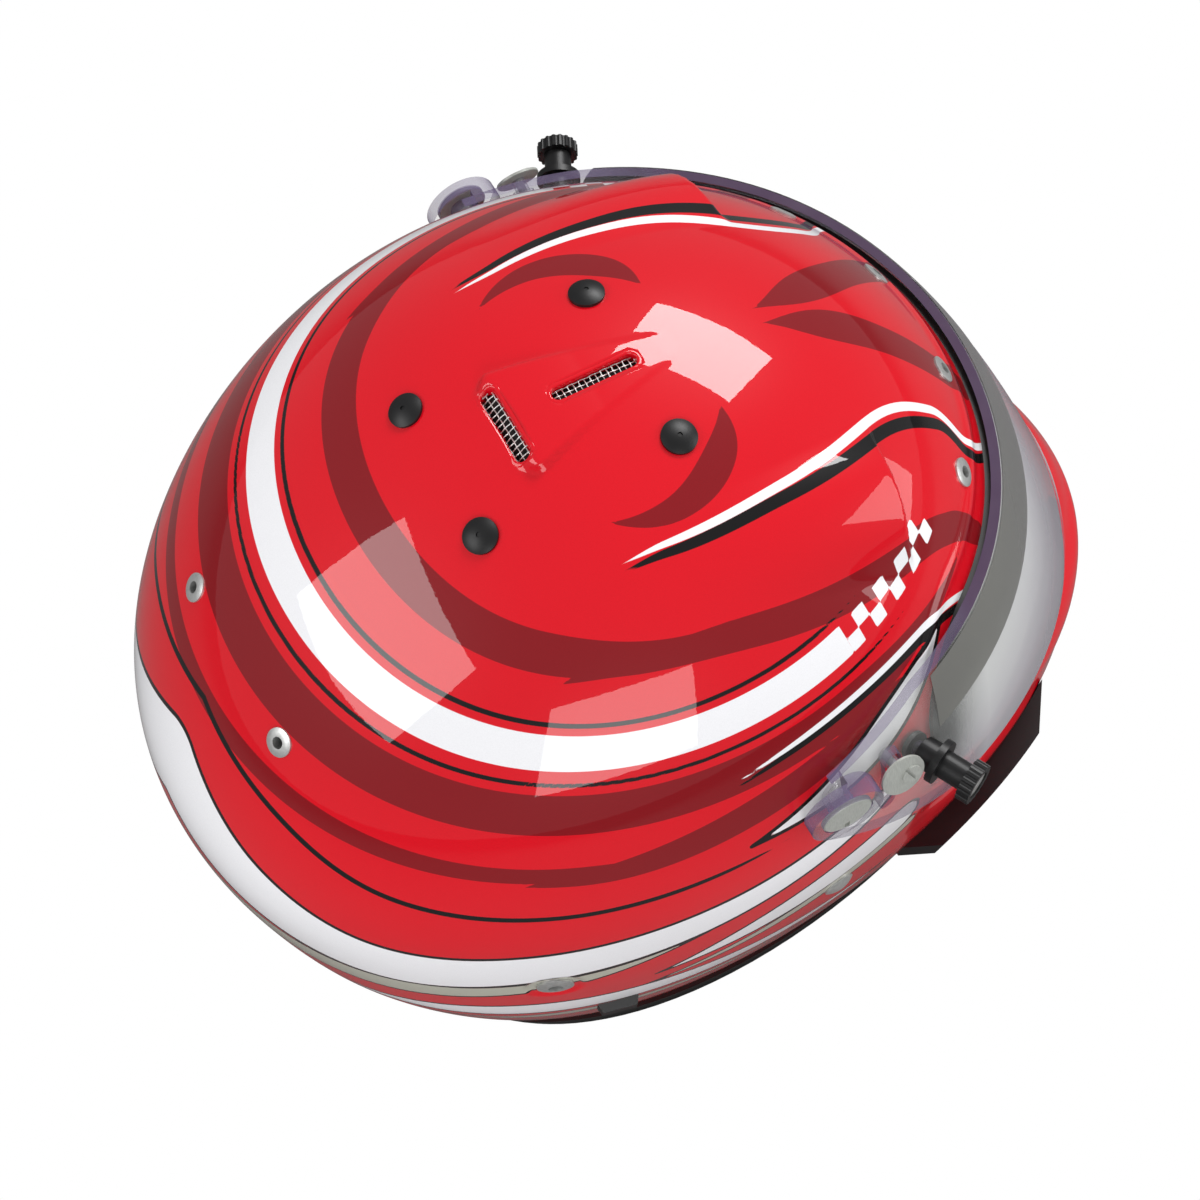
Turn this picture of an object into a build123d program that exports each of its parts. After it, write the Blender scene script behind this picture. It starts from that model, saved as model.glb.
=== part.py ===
from build123d import *
import os
from math import cos, degrees, pi, radians, sin, sqrt, tan

# Full-face auto racing helmet, in millimetres.
# +Z is up, the wearer looks along -Y, and +X is the wearer's left.
# Heights are measured from the surface that the helmet stands on. Distances
# ahead of and behind the crown axis are measured from that axis.

# Shell: driving dimensions
shell_height = 251.0
half_width = 130.0
brow_reach = 164.0
chin_reach = 182.0
rear_reach = 168.0
flank_height = 130.0
nape_height = 112.0
ledge_height = 84.0
ledge_drop = 22.0
chin_foot = 30.0
chin_tuck = 12.0
crown_set_back = 11.0
wall = 3.5
rim_flare = 2.5
rim_height = 14.0
flank_fullness_share = 0.04
flank_tuck_share = 0.20
nape_slope_share = 0.23
nape_tuck_share = 0.30
brow_slope_share = 0.36
brow_bow_share = 0.38
corner_share = 0.025
crown_y = (chin_reach - rear_reach) / 2
overrun = 20.0
normal_step_share = 0.001
bearing_step = 15
low_sections = 9
crown_sections = 26
crown_arc = 85.0

# Bottom edge: flat along the sides, rising to the chin and the nape
edge_flat = 70.0
edge_rise = 9.0
edge_lip = 2.0
trim_height = 10.0
trim_cover = 1.6

# Eyeport, seen from the side
eyeport_rear = 60.0
eyeport_top = 176.0
eyeport_sill = 127.0
eyeport_corner = 18.0
sill_angle = 18.0
brow_angle = 2.0
gasket_cover = 6.5
gasket_web = 2.0
gasket_proud = 2.0

# Visor
visor_gap = 2.8
visor_thickness = 3.0
visor_overlap = 9.0
visor_corner = 14.0
pivot_ahead = 12.6
pivot_height = 165.6
visor_travel = 35.0
visor_top_turn = 48.0
visor_foot_turn = 60.0
ear_radius = 12.9
ear_thickness = 5.2
ear_clearance = 0.5
ear_probes = 24
ear_root_ahead = 2.0
bush_radius = 4.5
running_fit = 0.1
guide_radius = 21.0
guide_angle = 2.5
guide_bush_radius = 2.4
guide_play = 1.1
guide_slot_width = 7.0
guide_stand = 4.6
guide_up_slope = 0.31
guide_back_slope = 0.05
strip_height = 21.0
strip_rear = 54.0
strip_thickness = 0.4

# Screws and their nuts
pivot_head_radius = 8.75
guide_head_radius = 7.75
head_thickness = 1.7
head_rim_round = 0.5
pivot_shank_radius = 2.5
guide_shank_radius = 1.5
pivot_nut_radius = 8.0
guide_nut_radius = 5.5
nut_depth = 6.0
head_notch_width = 1.8
head_notch_length = 3.2
head_notch_depth = 0.8
head_notch_offset = 6.4
insert_radius = 3.4
insert_rise = 0.5
insert_offset = 2.4
insert_slot_width = 1.0

# Tear-off posts
post_height = 159.8
post_ahead = 46.6
post_yaw = 26.0
post_foot_radius = 5.4
post_foot_height = 4.4
post_flange_radius = 7.65
post_flange_height = 2.4
post_barrel_radius = 4.7
post_barrel_height = 8.6
post_knob_radius = 7.15
post_knob_height = 4.4
post_knob_gap = 0.2
post_spigot_radius = 2.0
post_spigot_length = 3.0
post_face_radius = 4.85
post_face_depth = 1.2
post_nut_radius = 5.0
post_nut_height = 1.5
post_shank_radius = 2.5
knob_flats = 18
knob_flat_depth = 0.5

# Crown: raised wedge, its two vent slots and their wire mesh
wedge_front = 19.0
wedge_rear = 31.5
wedge_step = 6.0
wedge_front_half = 5.5
wedge_rear_half = 18.8
wedge_lift = 3.6
wedge_crest_lift = 1.0
wedge_front_lift = 0.4
wedge_sink = 0.6
wedge_root = 7.0
slot_width = 4.6
cross_slot_length = 27.0
long_slot_length = 29.0
long_slot_centre = 3.8
mesh_sink = 3.0
mesh_pitch = 1.9
mesh_wire = 0.5
mesh_thickness = 0.7

# Crown plugs, vent eyelets, head restraint anchors, strap rivets and side tabs
plug_radius = 5.75
plug_rise = 2.4
plug_rim = 0.9
plug_stem_radius = 2.4
plug_stem_length = 7.0
plug_dimple_radius = 0.8
plug_dimple_depth = 0.4
front_plug_height = 247.7
front_plug_bearing = 69.3
rear_plug_height = 236.9
rear_plug_bearing = 157.0
eyelet_radius = 4.8
eyelet_bore = 2.0
eyelet_barrel = 3.0
eyelet_rim = 1.0
eyelet_depth = 6.0
brow_eyelet_height = 194.1
brow_eyelet_bearings = (10.7, 30.3)
rear_eyelet_height = 181.2
rear_eyelet_bearing = 165.2
vent_reach = 62.0
anchor_height = 98.8
anchor_behind = 84.2
anchor_radius = 6.2
anchor_rim = 1.4
anchor_barrel = 4.6
anchor_depth = 9.0
anchor_bore = 2.5
anchor_recess_radius = 9.5
anchor_recess_depth = 0.9
rivet_height = 89.5
rivet_ahead = 17.5
rivet_radius = 5.6
rivet_rise = 2.0
rivet_rim = 0.4
rivet_shank = 2.0
rivet_washer = 4.6
washer_thickness = 1.0
washer_gap = 0.7
tab_height = 57.0
tab_behind = 62.0
tab_length = 12.0
tab_width = 8.0
tab_proud = 3.0
tab_taper = 20.0

# Brow humps
hump_height = 219.0
hump_bearing = 45.0
hump_tail_height = 236.0
hump_tail_bearing = 95.0
hump_length = 76.0
hump_half_width = 24.0
hump_rise = 7.0

# Chin strakes
strake_front_height = 60.0
strake_rear_height = 50.0
strake_width = 7.0
strake_front = 128.0
strake_rear = 52.0
strake_proud = 9.0
strake_bevel = 12.0

# Liner, pads and chin strap
liner_gap = 0.3
liner_thickness = 32.0
liner_thinning = 22.0
liner_foot = 15.0
liner_front = 58.0
liner_front_top = 130.0
liner_eyeport_margin = 4.0
liner_cuts = 4
liner_turn = 22.5
liner_levels = (95.0, 175.0)
chin_liner_thickness = 20.0
chin_liner_front = 62.0
chin_liner_foot = 18.0
sill_margin = 7.0
pad_thickness = 12.0
chin_pad_thickness = 6.0
chin_pad_foot = 22.0
chin_pad_top = 58.0
crown_pad_foot = 188.0
band_pad_foot = 116.0
band_pad_top = 184.0
band_pad_front = 44.0
cheek_front = 56.0
cheek_rear = 14.0
cheek_foot = 25.0
cheek_top = 108.0
cheek_inner = 66.0
cheek_round = 9.0
neck_foot = 19.0
neck_top = 46.0
neck_front = 40.0
neck_thickness = 16.0
seam_depth = 6.0
seam_width = 5.0
seam_count = 3
seam_start = 30.0
strap_width = 25.0
strap_thickness = 1.5
strap_level = 12.6
strap_bend = 9.0
strap_end = 26.0
strap_gap = 0.7
strap_top_margin = 9.0
channel_margin = 1.5
ring_wire_radius = 1.75
ring_inner_width = 26.0
ring_leg = 5.0
ring_corner = 3.0
ring_spacing = 3.9
ring_clearance = 0.3
snap_radius = 5.5
snap_height = 2.6
snap_inset = 12.0


# Shell surface

def reach(height, inset=0.0, thinning=0.0):
    """Half width, front reach, rear reach and crown roundness of the shell at a height."""
    inset = inset - thinning * max(1.0 - height / nape_height, 0.0)
    top = shell_height - inset
    if height > flank_height:
        rise = min((height - flank_height) / (top - flank_height), 1.0)
        side = (half_width - inset) * sqrt(1.0 - rise**2) * (1.0 + flank_fullness_share * rise**2)
    else:
        drop = 1.0 - height / flank_height
        side = half_width * (1.0 - flank_tuck_share * drop**2) - inset
    if height > nape_height:
        rise = min((height - nape_height) / (top - nape_height), 1.0)
        roundness = sqrt(1.0 - rise**2)
        rear = (rear_reach - inset) * roundness * (1.0 - nape_slope_share * rise**2)
    else:
        roundness = 1.0
        drop = 1.0 - height / nape_height
        rear = rear_reach * (1.0 - nape_tuck_share * drop**2) - inset
    if height > ledge_height:
        rise = min((height - ledge_height) / (top - ledge_height), 1.0)
        bow = 1.0 - brow_slope_share * rise + brow_bow_share * rise**2
        front = (brow_reach - inset) * sqrt(1.0 - rise**2) * bow
    else:
        drop = min((ledge_height - height) / ledge_drop, 1.0)
        slope = brow_slope_share * brow_reach / (shell_height - ledge_height)
        start = slope * ledge_drop * (drop - 2 * drop**2 + drop**3)
        step = (chin_reach - brow_reach) * (3 * drop**2 - 2 * drop**3)
        tuck = chin_tuck * max(1.0 - height / chin_foot, 0.0) ** 2
        front = brow_reach + start + step - tuck - inset
    flare = rim_flare * max(1.0 - height / rim_height, 0.0) ** 2
    return side + flare, front + flare, rear + flare, roundness


def skin_point(height, bearing, inset=0.0, thinning=0.0):
    """Point of the skin; the bearing is 0 at the front and 90 at the wearer's left."""
    side, front, rear, roundness = reach(height, inset, thinning)
    ahead, across = cos(radians(bearing)), sin(radians(bearing))
    x = side * across * (1.0 + corner_share * ahead**2)
    y = (rear - front) / 2 * ahead**2 - (front + rear) / 2 * ahead * (1.0 + corner_share * across**2)
    y += crown_set_back * roundness * across**2
    return x, crown_y + y, height


def bearing_at(behind, height, inset=0.0):
    """Bearing of the skin point that lies this far behind the crown axis."""
    low, high = 0.0, 180.0
    for _ in range(50):
        middle = (low + high) / 2
        if skin_point(height, middle, inset)[1] < crown_y + behind:
            low = middle
        else:
            high = middle
    return (low + high) / 2


def flank(behind, height, inset=0.0):
    """Half width of the skin in the side view."""
    return skin_point(height, bearing_at(behind, height, inset), inset)[0]


def crown_level(behind, inset=0.0):
    """Height of the skin on the middle plane, above the eyeport."""
    low, high = flank_height, shell_height - inset
    for _ in range(50):
        middle = (low + high) / 2
        _, front, rear, _ = reach(middle, inset)
        if -front < behind < rear:
            low = middle
        else:
            high = middle
    return low


def seat(height, bearing, inset=0.0):
    """Plane tangent to the skin, facing outwards."""
    step = normal_step_share * shell_height
    turn = degrees(step / half_width)
    along = Vector(*skin_point(height, bearing + turn, inset)) - Vector(
        *skin_point(height, bearing - turn, inset)
    )
    rise = Vector(*skin_point(height + step, bearing, inset)) - Vector(
        *skin_point(height - step, bearing, inset)
    )
    return Plane(origin=skin_point(height, bearing, inset), x_dir=along, z_dir=along.cross(rise))


def levels(inset):
    """Heights of the skin's sections: even up to the ledge, then closing up to the crown."""
    rise = shell_height - inset - ledge_height
    low = [ledge_height * count / low_sections for count in range(low_sections)]
    angles = [radians(crown_arc * count / crown_sections) for count in range(crown_sections + 1)]
    return low + [ledge_height + rise * sin(angle) for angle in angles]


def skin(inset, thinning=0.0):
    """Solid inside the shell's outer surface, moved in by inset."""
    bearings = range(180, 540, bearing_step)
    even_steps = range(len(bearings) + 1)
    with BuildPart() as body:
        for height in levels(inset):
            with BuildSketch(Plane.XY.offset(height)):
                with BuildLine():
                    points = [skin_point(height, b, inset, thinning)[:2] for b in bearings]
                    add(Edge.make_spline(points, periodic=True, parameters=even_steps))
                make_face()
        loft()
    return body.part


# Side-view prisms: everything on this plane is seen from the wearer's left
side_plane = Plane(origin=(0, crown_y, 0), x_dir=(0, 1, 0), z_dir=(1, 0, 0))
far_ahead = chin_reach + overrun
far_behind = rear_reach + overrun
far_side = half_width + overrun


def eyeport_prism(grow=0.0):
    """The eyeport's outline, grown by a margin, right through the shell."""
    ahead = far_ahead + overrun
    sill_front = eyeport_sill - (ahead - eyeport_rear) * tan(radians(sill_angle))
    top_front = eyeport_top - (ahead - eyeport_rear) * tan(radians(brow_angle))
    with BuildPart() as cutter:
        with BuildSketch(side_plane):
            with BuildLine():
                FilletPolyline(
                    (-ahead, sill_front),
                    (-eyeport_rear, eyeport_sill),
                    (-eyeport_rear, eyeport_top),
                    (-ahead, top_front),
                    radius=eyeport_corner,
                    close=True,
                )
            make_face()
            if grow:
                offset(amount=grow)
        extrude(amount=far_side, both=True)
    return cutter.part


def under_edge(lift):
    """Everything below the helmet's bottom edge line, raised by a lift."""
    end = lift + edge_rise
    with BuildPart() as cutter:
        with BuildSketch(side_plane):
            with BuildLine():
                Line((-edge_flat, lift), (edge_flat, lift))
                TangentArc((edge_flat, lift), (far_behind, end), tangent=(1, 0))
                Polyline((far_behind, end), (far_behind, -overrun), (-far_ahead, -overrun), (-far_ahead, end))
                TangentArc((-edge_flat, lift), (-far_ahead, end), tangent=(-1, 0))
            make_face()
        extrude(amount=far_side, both=True)
    return cutter.part


def side_box(front, rear, foot, top):
    """Box across the helmet, given by its distances behind the crown axis and its heights."""
    with BuildPart() as cutter:
        with BuildSketch(side_plane):
            with Locations(((front + rear) / 2, (foot + top) / 2)):
                Rectangle(rear - front, top - foot)
        extrude(amount=far_side, both=True)
    return cutter.part


def save(piece, label):
    """Label one finished piece and write it."""
    piece.label = label
    export_step(piece, f"parts/{label}.step")


def save_pair(piece, label):
    """Write a piece of the wearer's left and its mirror image."""
    save(piece, f"{label}_left")
    save(mirror(piece, about=Plane.YZ), f"{label}_right")


def outward(behind, height, inset=0.0):
    """Plane on the wearer's left flank that faces straight out along X."""
    point = (flank(behind, height, inset), crown_y + behind, height)
    return Plane(origin=point, x_dir=(0, 1, 0), z_dir=(1, 0, 0))


def rod(plane, radius, above, below, bore=0.0):
    """Round rod or tube about a plane's normal, from below the plane to above it."""
    with BuildPart() as form:
        with BuildSketch(plane.offset(-below)):
            Circle(radius)
            if bore:
                Circle(bore, mode=Mode.SUBTRACT)
        extrude(amount=above + below)
    return form.part


def button(plane, radius, rim, rise, sink, bore=0.0):
    """Domed head about a plane's normal, reaching a little below the plane."""
    with BuildPart() as form:
        with BuildSketch(Plane.XZ):
            with BuildLine():
                Polyline((bore, rise), (bore, -sink), (radius, -sink), (radius, rim))
                TangentArc((bore, rise), (radius, rim), tangent=(1, 0))
            make_face()
        revolve(axis=Axis.Z)
    return form.part.moved(plane.location)


def both(piece):
    """A piece of the wearer's left together with its mirror image."""
    with BuildPart() as pair:
        add(piece)
        mirror(piece, about=Plane.YZ)
    return pair.part


os.makedirs("parts", exist_ok=True)

outer_skin = skin(0.0)
inner_skin = skin(wall)
eyeport = eyeport_prism()
below_edge = under_edge(edge_lip)

front_plug_seat = seat(front_plug_height, front_plug_bearing)
rear_plug_seat = seat(rear_plug_height, rear_plug_bearing)
inner_eyelet_seat = seat(brow_eyelet_height, brow_eyelet_bearings[0])
outer_eyelet_seat = seat(brow_eyelet_height, brow_eyelet_bearings[1])
rear_eyelet_seat = seat(rear_eyelet_height, rear_eyelet_bearing)
anchor_seat = seat(anchor_height, bearing_at(anchor_behind, anchor_height), anchor_recess_depth)
rivet_bearing = bearing_at(-rivet_ahead, rivet_height)
rivet_seat = seat(rivet_height, rivet_bearing)
pivot_seat = outward(-pivot_ahead, pivot_height)
guide_behind = -pivot_ahead - guide_radius * cos(radians(guide_angle))
guide_height = pivot_height + guide_radius * sin(radians(guide_angle))
guide_middle = outward(guide_behind, guide_height, -visor_gap - visor_thickness / 2)
guide_axis = Vector(1, -guide_back_slope, guide_up_slope).normalized()
guide_origin = guide_middle.origin + guide_axis * visor_thickness / 2
guide_plane = Plane(origin=guide_origin, x_dir=(0, 1, 0), z_dir=guide_axis)
through = wall + overrun

# Raised wedge on the crown, flush at its front and stepped down at its rear
wedge_crest = (wedge_rear - wedge_front) / 2
front_level = crown_level(-wedge_front)
rear_level = crown_level(wedge_rear)
step_level = crown_level(wedge_rear + wedge_step)
with BuildPart() as crown_wedge:
    with BuildSketch(side_plane):
        with BuildLine():
            ThreePointArc(
                (-wedge_front, front_level + wedge_front_lift),
                (wedge_crest, crown_level(wedge_crest) + wedge_crest_lift),
                (wedge_rear, rear_level + wedge_lift),
            )
            Polyline(
                (wedge_rear, rear_level + wedge_lift),
                (wedge_rear + wedge_step, step_level - wedge_sink),
                (wedge_rear + wedge_step, step_level - wedge_root),
                (-wedge_front, front_level - wedge_root),
                (-wedge_front, front_level + wedge_front_lift),
            )
        make_face()
    extrude(amount=wedge_rear_half, both=True)
    with BuildSketch(Plane(origin=(0, crown_y, 0))):
        with BuildLine():
            Polyline(
                (-wedge_front_half, -wedge_front),
                (wedge_front_half, -wedge_front),
                (wedge_rear_half, wedge_rear),
                (wedge_rear_half, wedge_rear + wedge_step),
                (-wedge_rear_half, wedge_rear + wedge_step),
                (-wedge_rear_half, wedge_rear),
                close=True,
            )
        make_face()
    extrude(amount=shell_height + overrun, mode=Mode.INTERSECT)

# Brow hump: half an ellipsoid that rises from its tail and drops at its front
hump_crest = Vector(*skin_point(hump_height, hump_bearing))
hump_tail = Vector(*skin_point(hump_tail_height, hump_tail_bearing))
hump_axis = (hump_tail - hump_crest).normalized()
hump_normal = seat(hump_height, hump_bearing).z_dir
hump_up = (hump_normal - hump_axis * hump_normal.dot(hump_axis)).normalized()
with BuildPart() as hump_form:
    Sphere(hump_rise)
    scale(by=(hump_length / hump_rise, hump_half_width / hump_rise, 1))
    split(bisect_by=Plane.YZ, keep=Keep.TOP)
hump = hump_form.part.moved(Plane(origin=hump_crest, x_dir=hump_axis, z_dir=hump_up).location)

# Vent slots of the crown, one crosswise in the wedge's step and one along it
slot_root = Plane(origin=(0, crown_y, shell_height - through))
with BuildPart() as long_slot:
    with BuildSketch(slot_root):
        with Locations((0, long_slot_centre)):
            SlotOverall(long_slot_length, slot_width, rotation=90)
    extrude(amount=2 * through)
with BuildPart() as cross_slot:
    with BuildSketch(slot_root):
        with Locations((0, wedge_rear + wedge_step / 2)):
            SlotOverall(cross_slot_length, slot_width)
    extrude(amount=2 * through)

with BuildPart() as left_holes:
    add(rod(front_plug_seat, plug_stem_radius + running_fit, through, through))
    add(rod(rear_plug_seat, plug_stem_radius + running_fit, through, through))
    add(rod(inner_eyelet_seat, eyelet_barrel + running_fit, through, through))
    add(rod(outer_eyelet_seat, eyelet_barrel + running_fit, through, through))
    add(rod(rear_eyelet_seat, eyelet_barrel + running_fit, through, through))
    add(rod(anchor_seat, anchor_barrel + running_fit, through, through))
    add(rod(rivet_seat, rivet_shank + running_fit, through, through))
    add(rod(pivot_seat, pivot_shank_radius + running_fit, through, through))
    add(rod(guide_plane, guide_shank_radius + running_fit, through, 2 * through))
with BuildPart() as anchor_recess:
    add(rod(anchor_seat, anchor_recess_radius, overrun, overrun))
    add(skin(anchor_recess_depth), mode=Mode.SUBTRACT)

# Plain shell, without its raised forms and holes
with BuildPart() as plain_shell:
    add(outer_skin)
    add(inner_skin, mode=Mode.SUBTRACT)
    add(eyeport, mode=Mode.SUBTRACT)
    add(below_edge, mode=Mode.SUBTRACT)

# Raised forms, rooted in the middle of the wall
wall_middle = skin(wall / 2)
with BuildPart() as wedge_cap:
    add(crown_wedge.part)
    add(wall_middle, mode=Mode.SUBTRACT)
with BuildPart() as hump_cap:
    add(hump)
    add(wall_middle, mode=Mode.SUBTRACT)

with BuildPart() as outer_shell:
    add(plain_shell.part)
    add(wedge_cap.part)
    add(hump_cap.part)
    add(mirror(hump_cap.part, about=Plane.YZ, mode=Mode.PRIVATE))
    add(long_slot.part, mode=Mode.SUBTRACT)
    add(cross_slot.part, mode=Mode.SUBTRACT)
    add(both(left_holes.part), mode=Mode.SUBTRACT)
    add(both(anchor_recess.part), mode=Mode.SUBTRACT)
save(outer_shell.part, "outer_shell")

with BuildPart() as base_trim:
    add(skin(-trim_cover))
    add(skin(wall + trim_cover), mode=Mode.SUBTRACT)
    add(under_edge(trim_height), mode=Mode.INTERSECT)
    add(under_edge(0.0), mode=Mode.SUBTRACT)
    add(plain_shell.part, mode=Mode.SUBTRACT)
save(base_trim.part, "base_trim")

with BuildPart() as eyeport_gasket:
    add(skin(-gasket_proud))
    add(skin(wall + gasket_proud), mode=Mode.SUBTRACT)
    add(eyeport_prism(gasket_cover), mode=Mode.INTERSECT)
    add(eyeport_prism(-gasket_web), mode=Mode.SUBTRACT)
    add(plain_shell.part, mode=Mode.SUBTRACT)
save(eyeport_gasket.part, "eyeport_gasket")

# Woven wire mesh in the two vent slots
def slot_mesh(plane, slot):
    """Crossed wires on a plane, trimmed to a slot's walls."""
    count = int(long_slot_length / mesh_pitch) + 2
    with BuildPart() as mesh:
        with BuildSketch(plane):
            with GridLocations(mesh_pitch, 0, count, 1):
                Rectangle(mesh_wire, count * mesh_pitch)
            with GridLocations(0, mesh_pitch, 1, count):
                Rectangle(count * mesh_pitch, mesh_wire)
        extrude(amount=mesh_thickness)
        add(slot, mode=Mode.INTERSECT)
    return mesh.part


long_mesh_level = crown_level(long_slot_centre) - mesh_sink
cross_centre = wedge_rear + wedge_step / 2
cross_mesh_level = (rear_level + wedge_lift + step_level) / 2 - mesh_sink
step_normal = (0, rear_level + wedge_lift - step_level, wedge_step)
long_mesh_plane = Plane(origin=(0, crown_y + long_slot_centre, long_mesh_level))
cross_mesh_plane = Plane(origin=(0, crown_y + cross_centre, cross_mesh_level), x_dir=(1, 0, 0), z_dir=step_normal)
save(slot_mesh(long_mesh_plane, long_slot.part), "vent_mesh_long")
save(slot_mesh(cross_mesh_plane, cross_slot.part), "vent_mesh_cross")

# Crown plugs
for plane, label in ((front_plug_seat, "front_plug"), (rear_plug_seat, "rear_plug")):
    with BuildPart() as plug:
        add(button(plane, plug_radius, plug_rim, plug_rise, plug_radius / 2))
        add(outer_skin, mode=Mode.SUBTRACT)
        add(rod(plane, plug_stem_radius, plug_rim, plug_stem_length))
        add(rod(plane.offset(plug_rise), plug_dimple_radius, plug_rim, plug_dimple_depth), mode=Mode.SUBTRACT)
    save_pair(plug.part, label)

# Vent eyelets
for plane, label in (
    (inner_eyelet_seat, "inner_brow_eyelet"),
    (outer_eyelet_seat, "outer_brow_eyelet"),
    (rear_eyelet_seat, "rear_eyelet"),
):
    with BuildPart() as eyelet:
        add(button(plane, eyelet_radius, eyelet_rim / 2, eyelet_rim, eyelet_radius / 2, eyelet_bore))
        add(outer_skin, mode=Mode.SUBTRACT)
        add(rod(plane, eyelet_barrel, eyelet_rim / 2, eyelet_depth, eyelet_bore))
    save_pair(eyelet.part, label)

# Head restraint anchor: flanged threaded insert in a shallow recess
with BuildPart() as anchor:
    add(button(anchor_seat, anchor_radius, anchor_rim / 2, anchor_rim, anchor_radius / 2, anchor_bore))
    add(skin(anchor_recess_depth), mode=Mode.SUBTRACT)
    add(rod(anchor_seat, anchor_barrel, anchor_rim / 2, anchor_depth, anchor_bore))
save_pair(anchor.part, "restraint_anchor")

# Chin strakes on the flanks of the chin bar, bevelled at both ends
with BuildPart() as strake:
    with BuildSketch(side_plane):
        with BuildLine():
            Polyline(
                (-strake_front, strake_front_height - strake_width / 2),
                (-strake_rear, strake_rear_height - strake_width / 2),
                (-strake_rear, strake_rear_height + strake_width / 2),
                (-strake_front, strake_front_height + strake_width / 2),
                close=True,
            )
        make_face()
    extrude(amount=far_side)
    with BuildSketch(Plane(origin=(0, crown_y, 0))):
        front_foot = flank(-strake_front, strake_front_height)
        front_top = flank(strake_bevel - strake_front, strake_front_height, -strake_proud)
        rear_foot = flank(-strake_rear, strake_rear_height)
        rear_top = flank(-strake_rear - strake_bevel, strake_rear_height, -strake_proud)
        with BuildLine():
            Polyline(
                (0, -strake_front),
                (front_foot, -strake_front),
                (2 * front_top - front_foot, 2 * strake_bevel - strake_front),
                (2 * rear_top - rear_foot, -strake_rear - 2 * strake_bevel),
                (rear_foot, -strake_rear),
                (0, -strake_rear),
                close=True,
            )
        make_face()
    extrude(amount=ledge_height, mode=Mode.INTERSECT)
    add(skin(-strake_proud), mode=Mode.INTERSECT)
    add(outer_skin, mode=Mode.SUBTRACT)
save_pair(strake.part, "chin_strake")

# Side tabs
with BuildPart() as side_tab:
    tab_seat = seat(tab_height, bearing_at(tab_behind, tab_height))
    with BuildSketch(tab_seat.offset(tab_proud)):
        Rectangle(tab_length, tab_width)
    extrude(amount=-2 * tab_proud, taper=-tab_taper)
    add(outer_skin, mode=Mode.SUBTRACT)
save_pair(side_tab.part, "side_tab")

# Visor: one curved sheet with a pivot ear on each side
visor_outer = skin(-visor_gap - visor_thickness)
visor_inner = skin(-visor_gap)
ear_angles = [2 * pi * turn / ear_probes for turn in range(ear_probes)]
ear_inner = ear_clearance + max(
    flank(-pivot_ahead + ear_radius * cos(a), pivot_height + ear_radius * sin(a)) for a in ear_angles
)
ear_plane = Plane(origin=(ear_inner, crown_y - pivot_ahead, pivot_height), x_dir=(0, 1, 0), z_dir=(1, 0, 0))
ear_floor = ear_thickness - head_thickness - running_fit


def top_line(behind, above=0.0):
    """Height of a line parallel to the eyeport's top edge."""
    return eyeport_top + above + (behind + eyeport_rear) * tan(radians(brow_angle))


def sill_line(behind, below=0.0):
    """Height of a line parallel to the eyeport's sill."""
    return eyeport_sill - below + (behind + eyeport_rear) * tan(radians(sill_angle))


play = degrees(guide_play / guide_radius)
guide_start = 180 - guide_angle - play
guide_arc = CenterArc((-pivot_ahead, pivot_height), guide_radius, guide_start, visor_travel + 2 * play)

with BuildPart() as ear_root:
    with BuildSketch(ear_plane):
        Circle(ear_radius)
        with Locations((ear_radius - ear_root_ahead, 0)):
            Rectangle(2 * ear_radius, 2 * ear_radius, mode=Mode.SUBTRACT)
    extrude(amount=-overrun)
    add(visor_inner, mode=Mode.SUBTRACT)

with BuildPart() as visor:
    with BuildSketch(side_plane):
        with Locations((-pivot_ahead, pivot_height)):
            Circle(ear_radius)
        top_turn = top_line(-visor_top_turn, visor_overlap)
        foot_turn = sill_line(-visor_foot_turn, visor_overlap)
        top_x = visor_corner * sin(radians(brow_angle)) - visor_top_turn
        foot_x = -visor_foot_turn - visor_corner * sin(radians(sill_angle))
        with Locations((top_x, top_turn - visor_corner * cos(radians(brow_angle)))):
            Circle(visor_corner)
        with Locations((foot_x, foot_turn + visor_corner * cos(radians(sill_angle)))):
            Circle(visor_corner)
        make_hull()
        with BuildLine():
            Polyline(
                (-visor_top_turn, top_turn),
                (-visor_foot_turn, foot_turn),
                (-far_ahead, sill_line(-far_ahead, visor_overlap)),
                (-far_ahead, top_line(-far_ahead, visor_overlap)),
                close=True,
            )
        make_face()
    extrude(amount=far_side, both=True)
    add(visor_outer, mode=Mode.INTERSECT)
    add(visor_inner, mode=Mode.SUBTRACT)
    add(both(rod(ear_plane, ear_radius, overrun, overrun)), mode=Mode.SUBTRACT)
    add(both(rod(ear_plane, ear_radius, ear_thickness, 0.0)))
    add(both(ear_root.part))
    with BuildSketch(side_plane):
        SlotArc(guide_arc, guide_slot_width)
        with Locations((-pivot_ahead, pivot_height)):
            Circle(bush_radius + running_fit)
    extrude(amount=far_side, both=True, mode=Mode.SUBTRACT)
    add(both(rod(ear_plane.offset(ear_floor), pivot_head_radius + running_fit, overrun, 0.0)), mode=Mode.SUBTRACT)
    post_seat = outward(-post_ahead, post_height, -visor_gap - visor_thickness)
    post_axis = Vector(1, 0, 0).rotate(Axis.Z, -post_yaw)
    post_plane = Plane(origin=post_seat.origin, x_dir=(0, 0, 1), z_dir=post_axis)
    add(both(rod(post_plane, post_shank_radius, overrun, overrun)), mode=Mode.SUBTRACT)
save(visor.part, "visor")

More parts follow.
